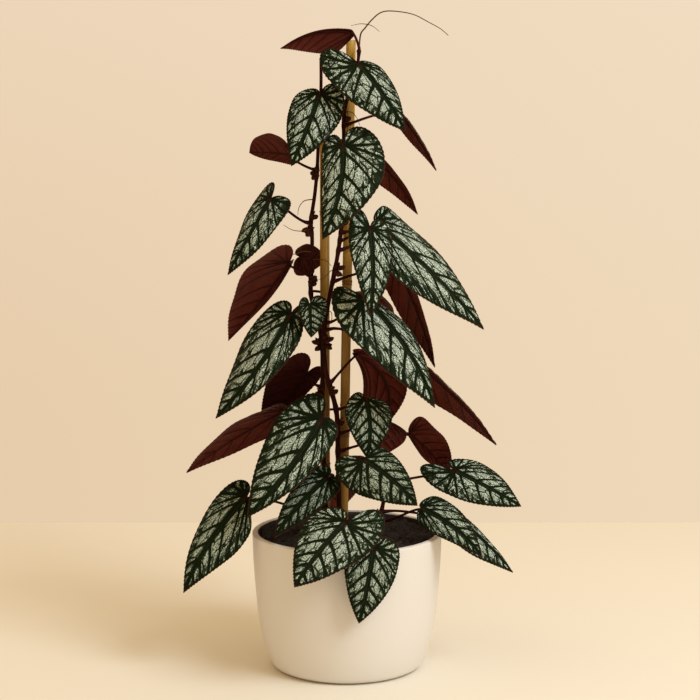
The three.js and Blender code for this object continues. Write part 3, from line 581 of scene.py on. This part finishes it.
def bamboo():
    """Golden bamboo, browner lower down: fibres, pale streaks, stains at the knots and flecks."""
    made, tree = material("bamboo")
    place = object_place(tree)
    fibres = noise(tree, scaled(tree, place, (1, 1, 0.02)), 1500, 3, 0.6)
    bands = noise(tree, scaled(tree, place, (1, 1, 0.15)), 90, 2)
    pale_streaks = noise(tree, scaled(tree, place, (1, 1, 0.03)), 260, 2)
    flecks = dots(tree, scaled(tree, place, (1, 1, 0.25)), 420, 0.14, 0.05)
    _, _, near_knot = uv_pair(tree, "cane")
    base = mix(tree, fibres, (0.34, 0.16, 0.016), (0.66, 0.41, 0.08))
    base = tint(tree, base, step(tree, bands, 0.5, 0.72), 0.6, (0.18, 0.08, 0.012))
    base = tint(tree, base, step(tree, pale_streaks, 0.52, 0.66), 0.5, (0.78, 0.57, 0.24))
    base = tint(tree, base, step(tree, height_of(tree, place), 0.42, 0.24), 0.65, (0.19, 0.075, 0.006))
    base = tint(tree, base, near_knot, 0.75, (0.12, 0.055, 0.015))
    base = tint(tree, base, flecks, 0.65, (0.09, 0.04, 0.012))
    rough = between(tree, fibres, 0.32, 0.5)
    return finished(made, base, rough, (fibres, 0.35, 0.0002), Specular_IOR_Level=0.25)


def cane_cut():
    """The sawn end of a cane: dark fibre dots in pale wood, round a hollow."""
    made, tree = material("cane_cut")
    fibres = dots(tree, object_place(tree), 1900, 0.35, 0.2)
    base = mix(tree, fibres, (0.42, 0.28, 0.13), (0.14, 0.075, 0.03))
    return finished(made, base, 0.8, (fibres, 0.4, 0.0003))


def glaze():
    """Cream glaze with a soft sheen, faint clouds and very small pinholes."""
    made, tree = material("cream_glaze")
    place = object_place(tree)
    clouds = noise(tree, place, 14, 3, 0.55)
    pins = dots(tree, place, 160, 0.035, 0.012)
    base = mix(tree, clouds, (0.74, 0.7, 0.64), (0.775, 0.735, 0.675))
    base = tint(tree, base, pins, 0.35, (0.4, 0.3, 0.2))
    ripple = noise(tree, scaled(tree, place, (1, 1, 3)), 22, 2)
    height = weighted(tree, (noise(tree, place, 800, 2), 0.08), (ripple, 1), (pins, -0.6))
    rough = between(tree, clouds, 0.42, 0.5)
    return finished(made, base, rough, (height, 0.15, 0.0006), Specular_IOR_Level=0.45,
                    Coat_Weight=0.15, Coat_Roughness=0.3)


def bare_clay():
    """The unglazed foot and inside of the pot, darkened to brown near the soil's top and above as painted
    shade.
    """
    made, tree = material("bare_clay")
    place = object_place(tree)
    grain = noise(tree, place, 500, 4, 0.65)
    base = mix(tree, grain, (0.5, 0.41, 0.31), (0.66, 0.57, 0.45))
    height = calc(tree, "MULTIPLY_ADD", grain, 0.004, height_of(tree, place))
    # Painted shade: the inner wall dark brown from near the soil's top up to the rim
    base = mix(tree, step(tree, height, 0.09, 0.1), base, (0.06, 0.036, 0.02))
    return finished(made, base, 0.85, (grain, 0.5, 0.0004))


def potting_mix():
    """Near-black peat with brown fibres."""
    made, tree = material("potting_mix")
    place = object_place(tree)
    lumps = noise(tree, place, 240, 5, 0.7)
    threads = noise(tree, scaled(tree, place, (1, 0.15, 1)), 620, 2, 0.5, 2.0)
    base = mix(tree, lumps, (0.003, 0.002, 0.0012), (0.022, 0.011, 0.0055))
    base = tint(tree, base, step(tree, threads, 0.62, 0.7), 0.5, (0.06, 0.03, 0.014))
    return finished(made, base, 0.9, (lumps, 0.9, 0.0015))


def bark_crumb(name, dark, light):
    """Crumbs and bark chips lying in the potting mix."""
    made, tree = material(name)
    grain = noise(tree, scaled(tree, object_place(tree), (1, 0.3, 1)), 700, 4, 0.65)
    return finished(made, mix(tree, grain, dark, light), 0.85, (grain, 0.7, 0.0006))


# Leaf shapes

def outline_at(u, lobe_share, rounded):
    """The outline at u from 0 (the notch) to 1 (the tip): half-widths and blade lengths."""
    points = [(x + (blunt - x) * rounded, y * lobe_share if y < 0 else y)
              for (x, y), blunt in zip(OUTLINE, ROUNDED)]
    return catmull(points, u * (len(points) - 1))


class Blade:
    """A leaf's own directions, and the points of its blade in millimetres."""

    def __init__(self, leaf):
        self.leaf = leaf
        self.at = np.array(leaf.at, float)
        reach = np.array(leaf.tip, float) - self.at
        self.length = np.linalg.norm(reach)
        self.along = reach / self.length
        front = np.array((0, -1.0, 0))
        front -= self.along * front.dot(self.along)
        front /= np.linalg.norm(front)
        upper = np.cross(self.along, front) * (1 if self.along[0] < 0 else -1)
        turn = math.radians(leaf.turn)
        self.normal = front * math.cos(turn) + upper * math.sin(turn)
        self.across = np.cross(self.along, self.normal)

    def point(self, x, y, lift):
        """x in millimetres across, y in blade lengths along, lift out of the upper side."""
        x, y, lift = (np.asarray(value, float) for value in (x, y, lift))
        half = np.where(x < 0, self.leaf.wide[0], self.leaf.wide[1])
        bend = np.where(y < 0, 4 * y, 4 * y * (1 - y))
        wave = 0.05 * np.sin(9 * y + 2.1 * self.leaf.tip[0]) * x * x / half
        drop = self.leaf.cup * x * x / half + wave
        out = self.leaf.bow * bend * self.length - drop + lift
        aside = x + self.leaf.sway * bend
        return (self.at + self.along * (y * self.length)[..., None]
                + self.normal * out[..., None] + self.across * aside[..., None])


def half_grid(leaf, length, side):
    """Flat places of one half of a blade, row by row from the notch to the tip."""
    k = 0 if side < 0 else 1
    half = leaf.wide[k]
    lobe_share = leaf.lobe[k] / length
    slant = leaf.slant[k]
    count = TEETH * ROWS_PER_TOOTH
    finer = max(length / FULL_LEAF, SMALLEST_SHARE) ** 0.6
    column = np.array(COLUMNS)
    grid = {key: np.zeros((count + 1, len(COLUMNS))) for key in ("x", "y", "w", "t", "edge")}
    for i in range(count + 1):
        u = i / count
        out, up = outline_at(u, lobe_share, leaf.rounded)
        start = max(0, (up - VEIN_RUN) / (1 - VEIN_RUN))
        end = np.array((out * half, (up + slant * out * (1 - up)) * length))
        root = np.array((0, start * length))
        run = np.linalg.norm(end - root)
        bite = TOOTH_DEPTH * finer * (i % ROWS_PER_TOOTH) / (ROWS_PER_TOOTH - 1)
        bite *= ease(0.03, 0.1, u) * ease(1, 0.93, u)
        stretch = 1 + bite / max(run, 1) * ease(0.85, 1, column)
        vein = np.interp(u * (len(OUTLINE) - 1), (0, *VEIN_AT, VEIN_AFTER_TIP), range(-1, len(VEIN_AT) + 1))
        grid["x"][i] = side * end[0] * column * stretch
        grid["y"][i] = (root[1] + (end[1] - root[1]) * column ** VEIN_BEND * stretch) / length
        grid["w"][i] = vein
        grid["t"][i] = column * run / 10 / finer
        grid["edge"][i] = (1 - column) * run / finer
    grid["v"] = np.tile(column, (count + 1, 1))
    flat = np.stack([grid["x"], grid["y"] * length], -1)
    across_rows = np.linalg.norm(np.gradient(flat, axis=0), axis=-1)
    turned = np.abs(np.gradient(grid["w"], axis=0)) + 1e-6
    grid["pitch"] = across_rows / turned / finer
    grid["rib"] = grid["x"] / finer
    grid["finer"] = finer
    return grid


def quilting(grid):
    """Bulges between the veins, ridges along them on the underside and the midrib's upper groove."""
    finer = grid["finer"]
    v = grid["v"]
    before_tip = ease(1, 0.9, grid["y"])
    from_vein = np.abs(grid["w"] - np.round(grid["w"])) * grid["pitch"] * finer
    reach = grid["pitch"] * finer * 0.5
    swell = np.sin(np.pi * np.clip(from_vein / np.maximum(reach, 0.5), 0, 1) / 2) ** 0.8
    size = np.minimum(0.23 * reach, 1.15 * finer)
    bulge = size * swell * ease(0, 0.2, v) * (1 - ease(0.8, 1, v))
    ridge = 0.38 * finer * hump(from_vein, 0.55 * finer) * (1 - ease(0.5, 0.95, v)) * ease(0, 0.12, v)
    rib_size = finer * (0.85 - 0.6 * np.clip(grid["y"], 0, 1)) * before_tip
    rib = rib_size * hump(grid["x"], 0.8 * finer)
    groove = 0.3 * finer * hump(grid["x"], 0.7 * finer) * before_tip
    return bulge, np.maximum(ridge, rib), groove


def half_maps(grid, length, dark, painted_shade):
    """The UV maps that the leaf materials read: two numbers for every point of one half."""
    pairs = {
        "veins": (grid["w"], grid["t"]),
        "blade": (grid["rib"], grid["y"] * length),
        "span": (grid["pitch"], grid["edge"]),
        "share": (np.clip(grid["y"], 0, 1), grid["v"]),
        "kind": (np.full_like(grid["v"], dark), np.full_like(grid["v"], painted_shade)),
    }
    return {name: np.stack(pair, -1).reshape(-1, 2) for name, pair in pairs.items()}


def half_faces(rows, columns, side):
    """Faces of the upper side, the underside and the margin. The lower points follow the upper."""
    count = rows * columns
    numbers = np.arange(count).reshape(rows, columns)
    a, b = numbers[:-1, :-1].ravel(), numbers[1:, :-1].ravel()
    c, d = numbers[1:, 1:].ravel(), numbers[:-1, 1:].ravel()
    quads = np.stack([a, b, c, d] if side < 0 else [a, d, c, b], -1)
    edge_a, edge_b = numbers[:-1, -1], numbers[1:, -1]
    wall = np.stack([edge_a, edge_b, edge_b + count, edge_a + count], -1)
    return quads, quads[:, ::-1] + count, wall


def blade_mesh(leaf, blade, dark, painted_shade):
    """The blade as one closed mesh: upper side, underside and margin."""
    points, faces, finishes, uvs = [], [], [], []
    for side in (-1, 1):
        grid = half_grid(leaf, blade.length, side)
        bulge, ridge, groove = quilting(grid)
        thin = BLADE_HALF_THICK * (1 - 0.5 * ease(0.8, 1, grid["v"]))
        count = grid["x"].size
        start = len(points) * count
        points.append(blade.point(grid["x"], grid["y"], thin + bulge - groove))
        points.append(blade.point(grid["x"], grid["y"], -thin + bulge * 0.9 - ridge))
        maps = half_maps(grid, blade.length, dark, painted_shade)
        for finish, shape in enumerate(half_faces(*grid["x"].shape, side)):
            faces.append(shape + start)
            finishes += [finish] * len(shape)
            uvs.append({name: table[shape.ravel() % count] for name, table in maps.items()})
    mesh = bpy.data.meshes.new(leaf.name)
    places = np.concatenate([block.reshape(-1, 3) for block in points]) * MM
    mesh.from_pydata(places.tolist(), [], np.concatenate(faces).tolist())
    mesh.polygons.foreach_set("material_index", finishes)
    for name in uvs[0]:
        layer = mesh.uv_layers.new(name=name)
        layer.data.foreach_set("uv", np.concatenate([block[name] for block in uvs]).ravel())
    close_seams(mesh)
    return mesh


def close_seams(mesh):
    """Doubles merged, flat slivers removed and every face turned outwards."""
    work = bmesh.new()
    work.from_mesh(mesh)
    bmesh.ops.remove_doubles(work, verts=work.verts, dist=SEAM)
    bmesh.ops.dissolve_degenerate(work, edges=work.edges, dist=SLIVER)
    bmesh.ops.recalc_face_normals(work, faces=work.faces)
    for face in work.faces:
        face.smooth = True
    work.to_mesh(mesh)
    work.free()


# Swept rods: stalks, stems, tendrils and buds

def new_tree(name, inputs, output):
    """A node tree that changes meshes, and the sockets of its inputs."""
    tree = bpy.data.node_groups.new(name, "GeometryNodeTree")
    for label, kind in inputs.items():
        tree.interface.new_socket(label, in_out="INPUT", socket_type="NodeSocket" + kind)
    tree.interface.new_socket(output, in_out="OUTPUT", socket_type="NodeSocketGeometry")
    return tree, add_node(tree, "NodeGroupInput").outputs


def close_tree(tree, shape, finish):
    """The tree's result: the shape as a plain mesh in one material."""
    real = add(tree, "GeometryNodeRealizeInstances", {0: shape})
    painted = add(tree, "GeometryNodeSetMaterial", {0: real, "Material": finish})
    add_node(tree, "NodeGroupOutput", {0: painted})
    return tree


def sweep_tree():
    """A rod round every line of the mesh. The attribute named radius gives its thickness."""
    inputs = {"Lines": "Geometry", "Sides": "Int", "Finish": "Material"}
    tree, given = new_tree("sweep", inputs, "Rods")
    line = add(tree, "GeometryNodeMeshToCurve", {0: given["Lines"]})
    ring = add(tree, "GeometryNodeCurvePrimitiveCircle", {"Resolution": given["Sides"], "Radius": 1.0})
    radius = add(tree, "GeometryNodeInputNamedAttribute", {"Name": "radius"}, data_type="FLOAT")
    rod = add(tree, "GeometryNodeCurveToMesh",
              {"Curve": line, "Profile Curve": ring, "Scale": radius, "Fill Caps": True})
    return close_tree(tree, add(tree, "GeometryNodeSetShadeSmooth", {0: rod}), given["Finish"])


def make_object(name, data):
    made = bpy.data.objects.new(name, data)
    bpy.context.scene.collection.objects.link(made)
    return made


def changed_mesh(piece):
    """The piece's mesh after its modifiers. The piece itself is removed."""
    graph = bpy.context.evaluated_depsgraph_get()
    mesh = bpy.data.meshes.new_from_object(piece.evaluated_get(graph))
    bpy.data.objects.remove(piece)
    return mesh


def through_tree(piece, tree, name, inputs):
    """A plain mesh object made from the piece by a node tree."""
    change = piece.modifiers.new("tree", "NODES")
    change.node_group = tree
    for item in tree.interface.items_tree:
        if item.in_out == "INPUT" and item.name in inputs:
            change[item.identifier] = inputs[item.name]
    mesh = changed_mesh(piece)
    mesh.name = name
    return make_object(name, mesh)


def rods(name, lines, sides, finish):
    """Rods along lines of (point, radius) in millimetres."""
    places, edges, radii = [], [], []
    for line in lines:
        first = len(places)
        places += [tuple(np.array(point) * MM) for point, _ in line]
        radii += [radius * MM for _, radius in line]
        edges += [(first + i, first + i + 1) for i in range(len(line) - 1)]
    mesh = bpy.data.meshes.new(name)
    mesh.from_pydata(places, edges, [])
    mesh.attributes.new("radius", "FLOAT", "POINT").data.foreach_set("value", radii)
    return through_tree(make_object(name, mesh), SWEEP, name, {"Sides": sides, "Finish": finish})


def joined(name, pieces):
    """Several mesh objects as one, with their materials and UV maps kept."""
    with bpy.context.temp_override(active_object=pieces[0], object=pieces[0],
                                   selected_objects=pieces, selected_editable_objects=pieces):
        bpy.ops.object.join()
    pieces[0].name = name
    pieces[0].data.name = name
    return pieces[0]


def stem_at(name, height):
    """The point of a stem's centre line at a height, and its radius there."""
    line = STEMS[name]["line"]
    heights = [point[2] for point in line]
    place = np.array([np.interp(height, heights, [point[k] for point in line]) for k in range(3)])
    return place, np.interp(height, (heights[0], heights[-1]), STEMS[name]["radius"])


def petiole_line(leaf, blade):
    """The stalk from its stem to the blade's notch, swollen at both ends."""
    middle, radius = stem_at(leaf.stem, leaf.root)
    end = blade.point(0, 0.03, -0.3)
    out = np.array(leaf.leave, float) if leaf.leave else (end - middle) * (1, 1, 0)
    out /= np.linalg.norm(out)
    start = middle + out * radius * 0.6
    clear = middle + out * (radius + 1)
    reach = np.linalg.norm(end - clear)
    first = clear + out * reach * 0.3 + np.array((0, 0, reach * 0.06))
    below = -0.8 * blade.normal - 0.6 * blade.along
    second = end + below / np.linalg.norm(below) * reach * 0.28
    curve = interpolate_bezier(*(Vector(p) for p in (clear, first, second, end)), 15)
    line = [(start, 1.9 * PETIOLE_RADIUS)]
    for i, point in enumerate(curve):
        t = i / (len(curve) - 1)
        swell = 0.55 * hump(t, 0.07) + 0.25 * hump(1 - t, 0.06)
        line.append((np.array(point), PETIOLE_RADIUS * (1.08 - 0.22 * t + swell)))
    return line


# Leaves

def make_leaf(leaf):
    dark, painted_shade = SHADES.get(leaf.name, USUAL_SHADE)
    blade = Blade(leaf)
    mesh = blade_mesh(leaf, blade, dark, painted_shade)
    for finish in (UPPER, UNDER, MARGIN):
        mesh.materials.append(finish)
    piece = make_object("vine_" + leaf.name, mesh)
    stalk = rods("stalk", [petiole_line(leaf, blade)], PETIOLE_SIDES, STALK)
    piece = joined("vine_" + leaf.name, [piece, stalk])
    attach(piece, "root")
    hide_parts(leaf.name)


# Stems

def stem_line(name):
    """A stem's centre line with its swollen nodes."""
    line = smooth_line(STEMS[name]["line"], 9)
    low, high = STEMS[name]["radius"]
    swellings = [leaf.root for leaf in LEAVES if leaf.stem == name]
    swellings += [bud[0] for bud in BUDS[name]]
    top = line[-1][2]
    rod = []
    for i, point in enumerate(line):
        base = (low + (high - low) * i / (len(line) - 1)) * STEM_SHARE
        near = min(abs(point[2] - height) for height in swellings)
        swell = 0.45 * hump(near, 2.6)
        end = 0.75 + 0.25 * min(1, (top - point[2]) / 4)
        rod.append((point, (base + swell) * end))
    return rod


def tendril_line(radius, points):
    line = smooth_line(points, 8)
    last = len(line) - 1
    return [(point, radius * (0.85 - 0.5 * i / last)) for i, point in enumerate(line)]


def bud_lines(name, bud, rng):
    """A cluster of blunt buds on a stem: the largest in front, smaller ones round its foot."""
    height, dx, dy, dz = bud
    root, _ = stem_at(name, height)
    main = np.array((dx, dy, dz), float)
    size = np.linalg.norm(main)
    lines = []
    for k in range(BUDS_IN_CLUSTER):
        share = 1 if k == 0 else rng.uniform(0.35, 0.85)
        aside = np.array([rng.uniform(-0.8, 0.8) for _ in range(3)]) if k else np.zeros(3)
        reach = main / size + aside
        reach *= 0.85 * size * share / np.linalg.norm(reach)
        line = []
        for i in range(9):
            u = i / 8
            point = root + reach * (u, u, u * u)
            line.append((point, share * float(np.interp(u, BUD_ALONG, BUD_RADIUS))))
        lines.append(line)
    return lines


def make_scales(name, rng):
    """Papery scales that curl round the buds and nodes of a stem."""
    mesh = bpy.data.meshes.new("scales")
    points, faces = [], []
    for bud in BUDS[name]:
        root, radius = stem_at(name, bud[0])
        for _ in range(SCALES_PER_BUD):
            turn = math.atan2(bud[2], bud[1]) + rng.uniform(-1.3, 1.3)
            add_scale(points, faces, root, radius, turn, rng)
    mesh.from_pydata([tuple(np.array(p) * MM) for p in points], [], faces)
    piece = make_object("scales", mesh)
    wall = piece.modifiers.new("wall", "SOLIDIFY")
    wall.thickness = SCALE_THICK * MM
    wall.offset = 0
    done = changed_mesh(piece)
    close_seams(done)
    done.materials.append(SCALE)
    return make_object("scales", done)


def add_scale(points, faces, root, radius, turn, rng):
    """One curled scale: a pointed boat-shaped flake that starts on the stem's skin."""
    length = rng.uniform(2.2, 4.0)
    width = rng.uniform(1.2, 2.0)
    rise = rng.uniform(-0.2, 0.9)
    curl = rng.uniform(0.3, 0.9)
    out = np.array((math.cos(turn), math.sin(turn), 0))
    beside = np.array((-math.sin(turn), math.cos(turn), 0))
    start = root + out * radius * 0.8 + np.array((0, 0, rng.uniform(-3, 3)))
    first = len(points)
    rows, columns = 6, 5
    for i in range(rows):
        t = i / (rows - 1)
        bend = rise + curl * t * 2
        climb = np.array((0, 0, length * t * math.sin(bend)))
        middle = start + out * length * t * math.cos(bend * 0.6) + climb
        for j in range(columns):
            s = 2 * j / (columns - 1) - 1
            spread = width * math.sin(math.pi * (0.12 + 0.88 * t) ** 0.8) + 0.12
            points.append(middle + beside * spread * s + np.array((0, 0, 0.6 * spread * s * s)))
    for i in range(rows - 1):
        for j in range(columns - 1):
            a = first + i * columns + j
            faces.append((a, a + 1, a + columns + 1, a + columns))


def make_stem(name):
    pieces = [rods("stem", [stem_line(name)], STEM_SIDES, BARK)]
    curls = [tendril_line(radius, points) for stem, radius, points in TENDRILS if stem == name]
    if curls:
        pieces.append(rods("curls", curls, TENDRIL_SIDES, CURL))
    rng = random.Random(SEED + len(name))
    buds = [line for bud in BUDS[name] for line in bud_lines(name, bud, rng)]
    pieces.append(rods("buds", buds, BUD_SIDES, SCALE))
    pieces.append(make_scales(name, rng))
    piece = joined("vine_stem_" + name, pieces)
    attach(piece, "root")
    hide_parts("stem_" + name)


# Canes

def ring_mesh(name, points, finishes, sides):
    """Rings of points in metres, joined by faces. A ring gives its finish to the faces before it."""
    faces, face_finishes = [], []
    for i, finish in enumerate(finishes[1:]):
        for k in range(sides):
            a, b = i * sides + k, i * sides + (k + 1) % sides
            faces.append((a, b, b + sides, a + sides))
            face_finishes.append(finish)
    mesh = bpy.data.meshes.new(name)
    mesh.from_pydata(points, [], faces)
    mesh.polygons.foreach_set("material_index", face_finishes)
    return mesh


def cane_profile(cane):
    """Rings of (height, radius, nearness to a knot), with a double ridge and a groove at each knot."""
    foot, top = cane["foot"][2], cane["top"][2]
    heights = set(np.linspace(foot, top, 60))
    for knot in cane["knots"]:
        heights.update(knot + offset for offset in np.linspace(-5, 5, 21))
    profile = []
    for height in sorted(heights):
        radius = CANE_RADIUS
        near = 0
        for knot in cane["knots"]:
            off = height - knot
            radius += sum(size * hump(off - place, width) for place, width, size in KNOT_SHAPE)
            near = max(near, hump(off, 2.2))
        profile.append((height, radius, near))
    return profile


def cane_rings(cane):
    """Rings of (height, radius, nearness to a knot, finish) from the foot to inside the hollow top."""
    foot, top = cane["foot"][2], cane["top"][2]
    rings = [(foot, 0, 0, 0)]
    rings += [(*ring, 0) for ring in cane_profile(cane)]
    rings[-1] = (top - CANE_BEVEL, CANE_RADIUS, 0, 0)
    mouth, bottom = CANE_HOLLOW
    deep = top - CANE_HOLLOW_DEPTH
    sawn = ((top, CANE_RADIUS - CANE_BEVEL), (top, mouth), (deep, bottom), (deep, 0))
    return rings + [(height, radius, 0, 1) for height, radius in sawn]


def make_cane(name):
    cane = CANES[name]
    foot, top = (np.array(cane[end], float) for end in ("foot", "top"))
    up = (top - foot) / np.linalg.norm(top - foot)
    across = np.cross((0, 1, 0), up)
    across /= np.linalg.norm(across)
    other = np.cross(up, across)
    rings = cane_rings(cane)
    points, near_knot = [], []
    for height, radius, near, _ in rings:
        centre = foot + up * (height - foot[2]) / up[2]
        for k in range(CANE_SIDES):
            angle = 2 * math.pi * k / CANE_SIDES
            wobble = 1 + 0.012 * math.sin(3 * angle + 0.02 * height)
            out = across * math.cos(angle) + other * math.sin(angle)
            points.append(tuple((centre + out * radius * wobble) * MM))
            near_knot.append(near)
    mesh = ring_mesh("cane", points, [ring[3] for ring in rings], CANE_SIDES)
    layer = mesh.uv_layers.new(name="cane")
    for loop in mesh.loops:
        layer.data[loop.index].uv = (0, near_knot[loop.vertex_index])
    close_seams(mesh)
    mesh.materials.append(BAMBOO)
    mesh.materials.append(CUT)
    piece = make_object("cane_" + name + "_bamboo", mesh)
    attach(piece, "root")
    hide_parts("cane_" + name)


# Pot and soil

def lathe(profile, sides):
    """A mesh turned round the upright axis from (radius, height, finish) rings, in millimetres."""
    points = []
    for radius, height, _ in profile:
        for k in range(sides):
            angle = 2 * math.pi * k / sides
            points.append((radius * math.cos(angle) * MM, radius * math.sin(angle) * MM, height * MM))
    mesh = ring_mesh("lathe", points, [ring[2] for ring in profile], sides)
    close_seams(mesh)
    return mesh


def inside_radius(height):
    radii, heights = zip(*POT_OUTSIDE)
    return float(np.interp(height, heights, radii)) - POT_WALL


def make_pot():
    """Finish 0 is glaze, 1 is bare clay."""
    inside = [(inside_radius(height), height) for height in np.linspace(107, 12, 24)]
    inside += [*POT_CORNER, (0, POT_FLOOR)]
    profile = [(radius, 0, 1) for radius in POT_FOOT]
    profile += [(*ring, 0) for ring in smooth_line(POT_OUTSIDE, 6) + RIM]
    profile += [(*ring, 1) for ring in inside]
    mesh = lathe(profile, POT_SIDES)
    mesh.materials.append(GLAZE)
    mesh.materials.append(CLAY)
    piece = make_object("pot_shell", mesh)
    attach(piece, "root")
    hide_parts("pot")


def soil_height(x, y):
    """The bumpy top of the soil, as in the part, with finer lumps. All in millimetres."""
    bumps = math.sin(0.21 * x + 1) * math.cos(0.19 * y) + 0.7 * math.sin(0.43 * x - 0.37 * y)
    fine = math.sin(1.3 * x + 0.7 * y) * math.cos(1.1 * y - 0.5 * x)
    fine += 0.6 * math.sin(2.3 * x) * math.sin(2.1 * y)
    return SOIL_TOP + 1.1 * bumps + 0.55 * fine


def soil_mesh():
    rings = [(0, POT_FLOOR + 0.35), (51, POT_FLOOR + 0.35), (55, POT_FLOOR + 2.2)]
    rings += [(inside_radius(height) - SOIL_GAP, height) for height in (19, 61, 90)]
    top_radius = inside_radius(SOIL_TOP) - 0.1
    rings += [(top_radius * share, SOIL_TOP) for share in np.linspace(1, 0, 56)]
    mesh = lathe([(*ring, 0) for ring in rings], SOIL_SIDES)
    for vertex in mesh.vertices:
        if vertex.co.z > (SOIL_TOP - 1) * MM:
            vertex.co.z = soil_height(vertex.co.x / MM, vertex.co.y / MM) * MM
    mesh.materials.append(PEAT)
    return mesh


def random_value(tree, low, high, seed):
    """A random number or vector for every point."""
    kind = "FunctionNodeRandomValue"
    if isinstance(low, tuple):
        return add(tree, kind, {0: low, 1: high, "Seed": seed}, data_type="FLOAT_VECTOR")
    return add(tree, kind, {2: low, 3: high, "Seed": seed}, 1, data_type="FLOAT")


def lengthened(tree, vector, factor):
    return add(tree, "ShaderNodeVectorMath", {0: vector, "Scale": factor}, operation="SCALE")


def crumb_tree():
    """Lumps of 80 faces strewn over the soil's top, turned and sized at random."""
    inputs = {"Ground": "Geometry", "Per square metre": "Float", "Smallest": "Float", "Largest": "Float",
              "Flatness": "Float", "Seed": "Int", "Finish": "Material"}
    tree, given = new_tree("crumbs", inputs, "Crumbs")
    seed = given["Seed"]
    place = add(tree, "GeometryNodeInputPosition")
    top = add(tree, "FunctionNodeCompare", {0: height_of(tree, place), 1: (SOIL_TOP - 4) * MM},
              operation="GREATER_THAN")
    spots = add(tree, "GeometryNodeDistributePointsOnFaces",
                {"Mesh": given["Ground"], "Selection": top,
                 "Density": given["Per square metre"], "Seed": seed})
    lump = add(tree, "GeometryNodeMeshIcoSphere", {"Radius": 1.0, "Subdivisions": 2})
    crease = noise(tree, place, 1.4, 2, 0.6)
    dent = lengthened(tree, place, calc(tree, "MULTIPLY_ADD", crease, 1.5, -0.85))
    chip = add(tree, "GeometryNodeSetPosition", {"Geometry": lump, "Offset": dent})
    turn = random_value(tree, (0, 0, 0), (0.6, 0.6, 2 * math.pi), seed)
    size = random_value(tree, given["Smallest"], given["Largest"], seed)
    stretch = random_value(tree, (0.7, 0.45, 0.5), (1.5, 0.9, 1), seed)
    squash = add(tree, "ShaderNodeCombineXYZ", {0: 1.0, 1: 1.0, 2: given["Flatness"]})
    sizes = lengthened(tree, scaled(tree, stretch, squash), size)
    strewn = add(tree, "GeometryNodeInstanceOnPoints",
                 {"Points": spots, "Instance": chip, "Rotation": turn, "Scale": sizes})
    return close_tree(tree, strewn, given["Finish"])


def make_soil():
    tree = crumb_tree()
    pieces = [make_object("soil", soil_mesh())]
    for kind in CRUMBS:
        ground = make_object("ground", soil_mesh())
        inputs = {"Per square metre": float(kind.density), "Smallest": kind.smallest * MM,
                  "Largest": kind.largest * MM, "Flatness": kind.flatness, "Seed": kind.seed,
                  "Finish": bark_crumb(kind.name, kind.dark, kind.light)}
        pieces.append(through_tree(ground, tree, "crumbs", inputs))
    piece = joined("soil_top", pieces)
    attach(piece, "root")
    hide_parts("soil")


# Studio

def make_camera():
    data = bpy.data.cameras.new("camera")
    data.sensor_width = SENSOR
    data.lens = LENS
    camera = make_object("camera", data)
    camera.location = CAMERA_PLACE
    camera.rotation_euler = (math.radians(CAMERA_TILT), 0, 0)
    bpy.context.scene.camera = camera


def make_floor():
    """A wide pale floor that ends behind the pot, where the wall of the photo starts."""
    mesh = bpy.data.meshes.new("floor")
    corners = [(-FLOOR_HALF, FLOOR_FRONT, 0), (FLOOR_HALF, FLOOR_FRONT, 0),
               (FLOOR_HALF, FLOOR_END, 0), (-FLOOR_HALF, FLOOR_END, 0)]
    mesh.from_pydata(corners, [], [(0, 1, 2, 3)])
    made, tree = material("floor")
    base = mix(tree, noise(tree, object_place(tree), 3.0, 2), *FLOOR_COLOURS)
    mesh.materials.append(finished(made, base, 0.75))
    floor = make_object("floor", mesh)


def make_key_light():
    """A large round light, high on the right in front of the plant."""
    data = bpy.data.lights.new("key", "AREA")
    data.shape = "DISK"
    data.size = KEY_SIZE
    data.energy = KEY_WATTS
    data.color = KEY_COLOUR
    light = make_object("key", data)
    light.location = KEY_PLACE
    aim = Vector(KEY_TARGET) - Vector(KEY_PLACE)
    light.rotation_euler = aim.to_track_quat("-Z", "Y").to_euler()


def make_world():
    """A pale wall with painted light, brighter to the right and above. The light it gives is stronger from
    above.
    """
    world = bpy.data.worlds.new("studio")
    world.use_nodes = True
    tree = world.node_tree
    way = add(tree, "ShaderNodeTexCoord", output="Generated")
    right, _, up = add_node(tree, "ShaderNodeSeparateXYZ", {0: way}).outputs
    # Painted light: the wall brighter to the right and above
    wall = mix(tree, step(tree, right, -0.25, 0.25), *WALL_COLOURS)
    wall = tint(tree, wall, step(tree, up, -0.2, 0.15), 0.5, WALL_ABOVE)
    ambient = mix(tree, step(tree, up, 0.0, 0.9), *AMBIENT_COLOURS)
    seen = add(tree, "ShaderNodeLightPath", output="Is Camera Ray")
    tree.links.new(mix(tree, seen, ambient, wall), tree.nodes["Background"].inputs["Color"])
    bpy.context.scene.world = world


make_camera()
make_world()
make_floor()
make_key_light()
bpy.context.scene.view_settings.view_transform = "Standard"

UPPER = leaf_upper()
UNDER = leaf_under()
MARGIN = leaf_margin()
STALK = vine_bark("stalk", (0.014, 0.0025, 0.0022), (0.06, 0.0085, 0.007), (0.08, 0.02, 0.015))
BARK = vine_bark("vine_bark", (0.009, 0.0016, 0.0012), (0.05, 0.007, 0.0045), (0.08, 0.02, 0.013))
CURL = vine_bark("tendril", (0.05, 0.018, 0.007), (0.16, 0.07, 0.028), (0.2, 0.1, 0.045))
SCALE = vine_bark("dry_scale", (0.015, 0.003, 0.002), (0.08, 0.02, 0.011), (0.16, 0.07, 0.04))
BAMBOO = bamboo()
CUT = cane_cut()
GLAZE = glaze()
CLAY = bare_clay()
PEAT = potting_mix()
SWEEP = sweep_tree()

make_pot()
make_soil()
for cane_name in CANES:
    make_cane(cane_name)
for stem_name in STEMS:
    make_stem(stem_name)
for row in LEAVES:
    make_leaf(row)
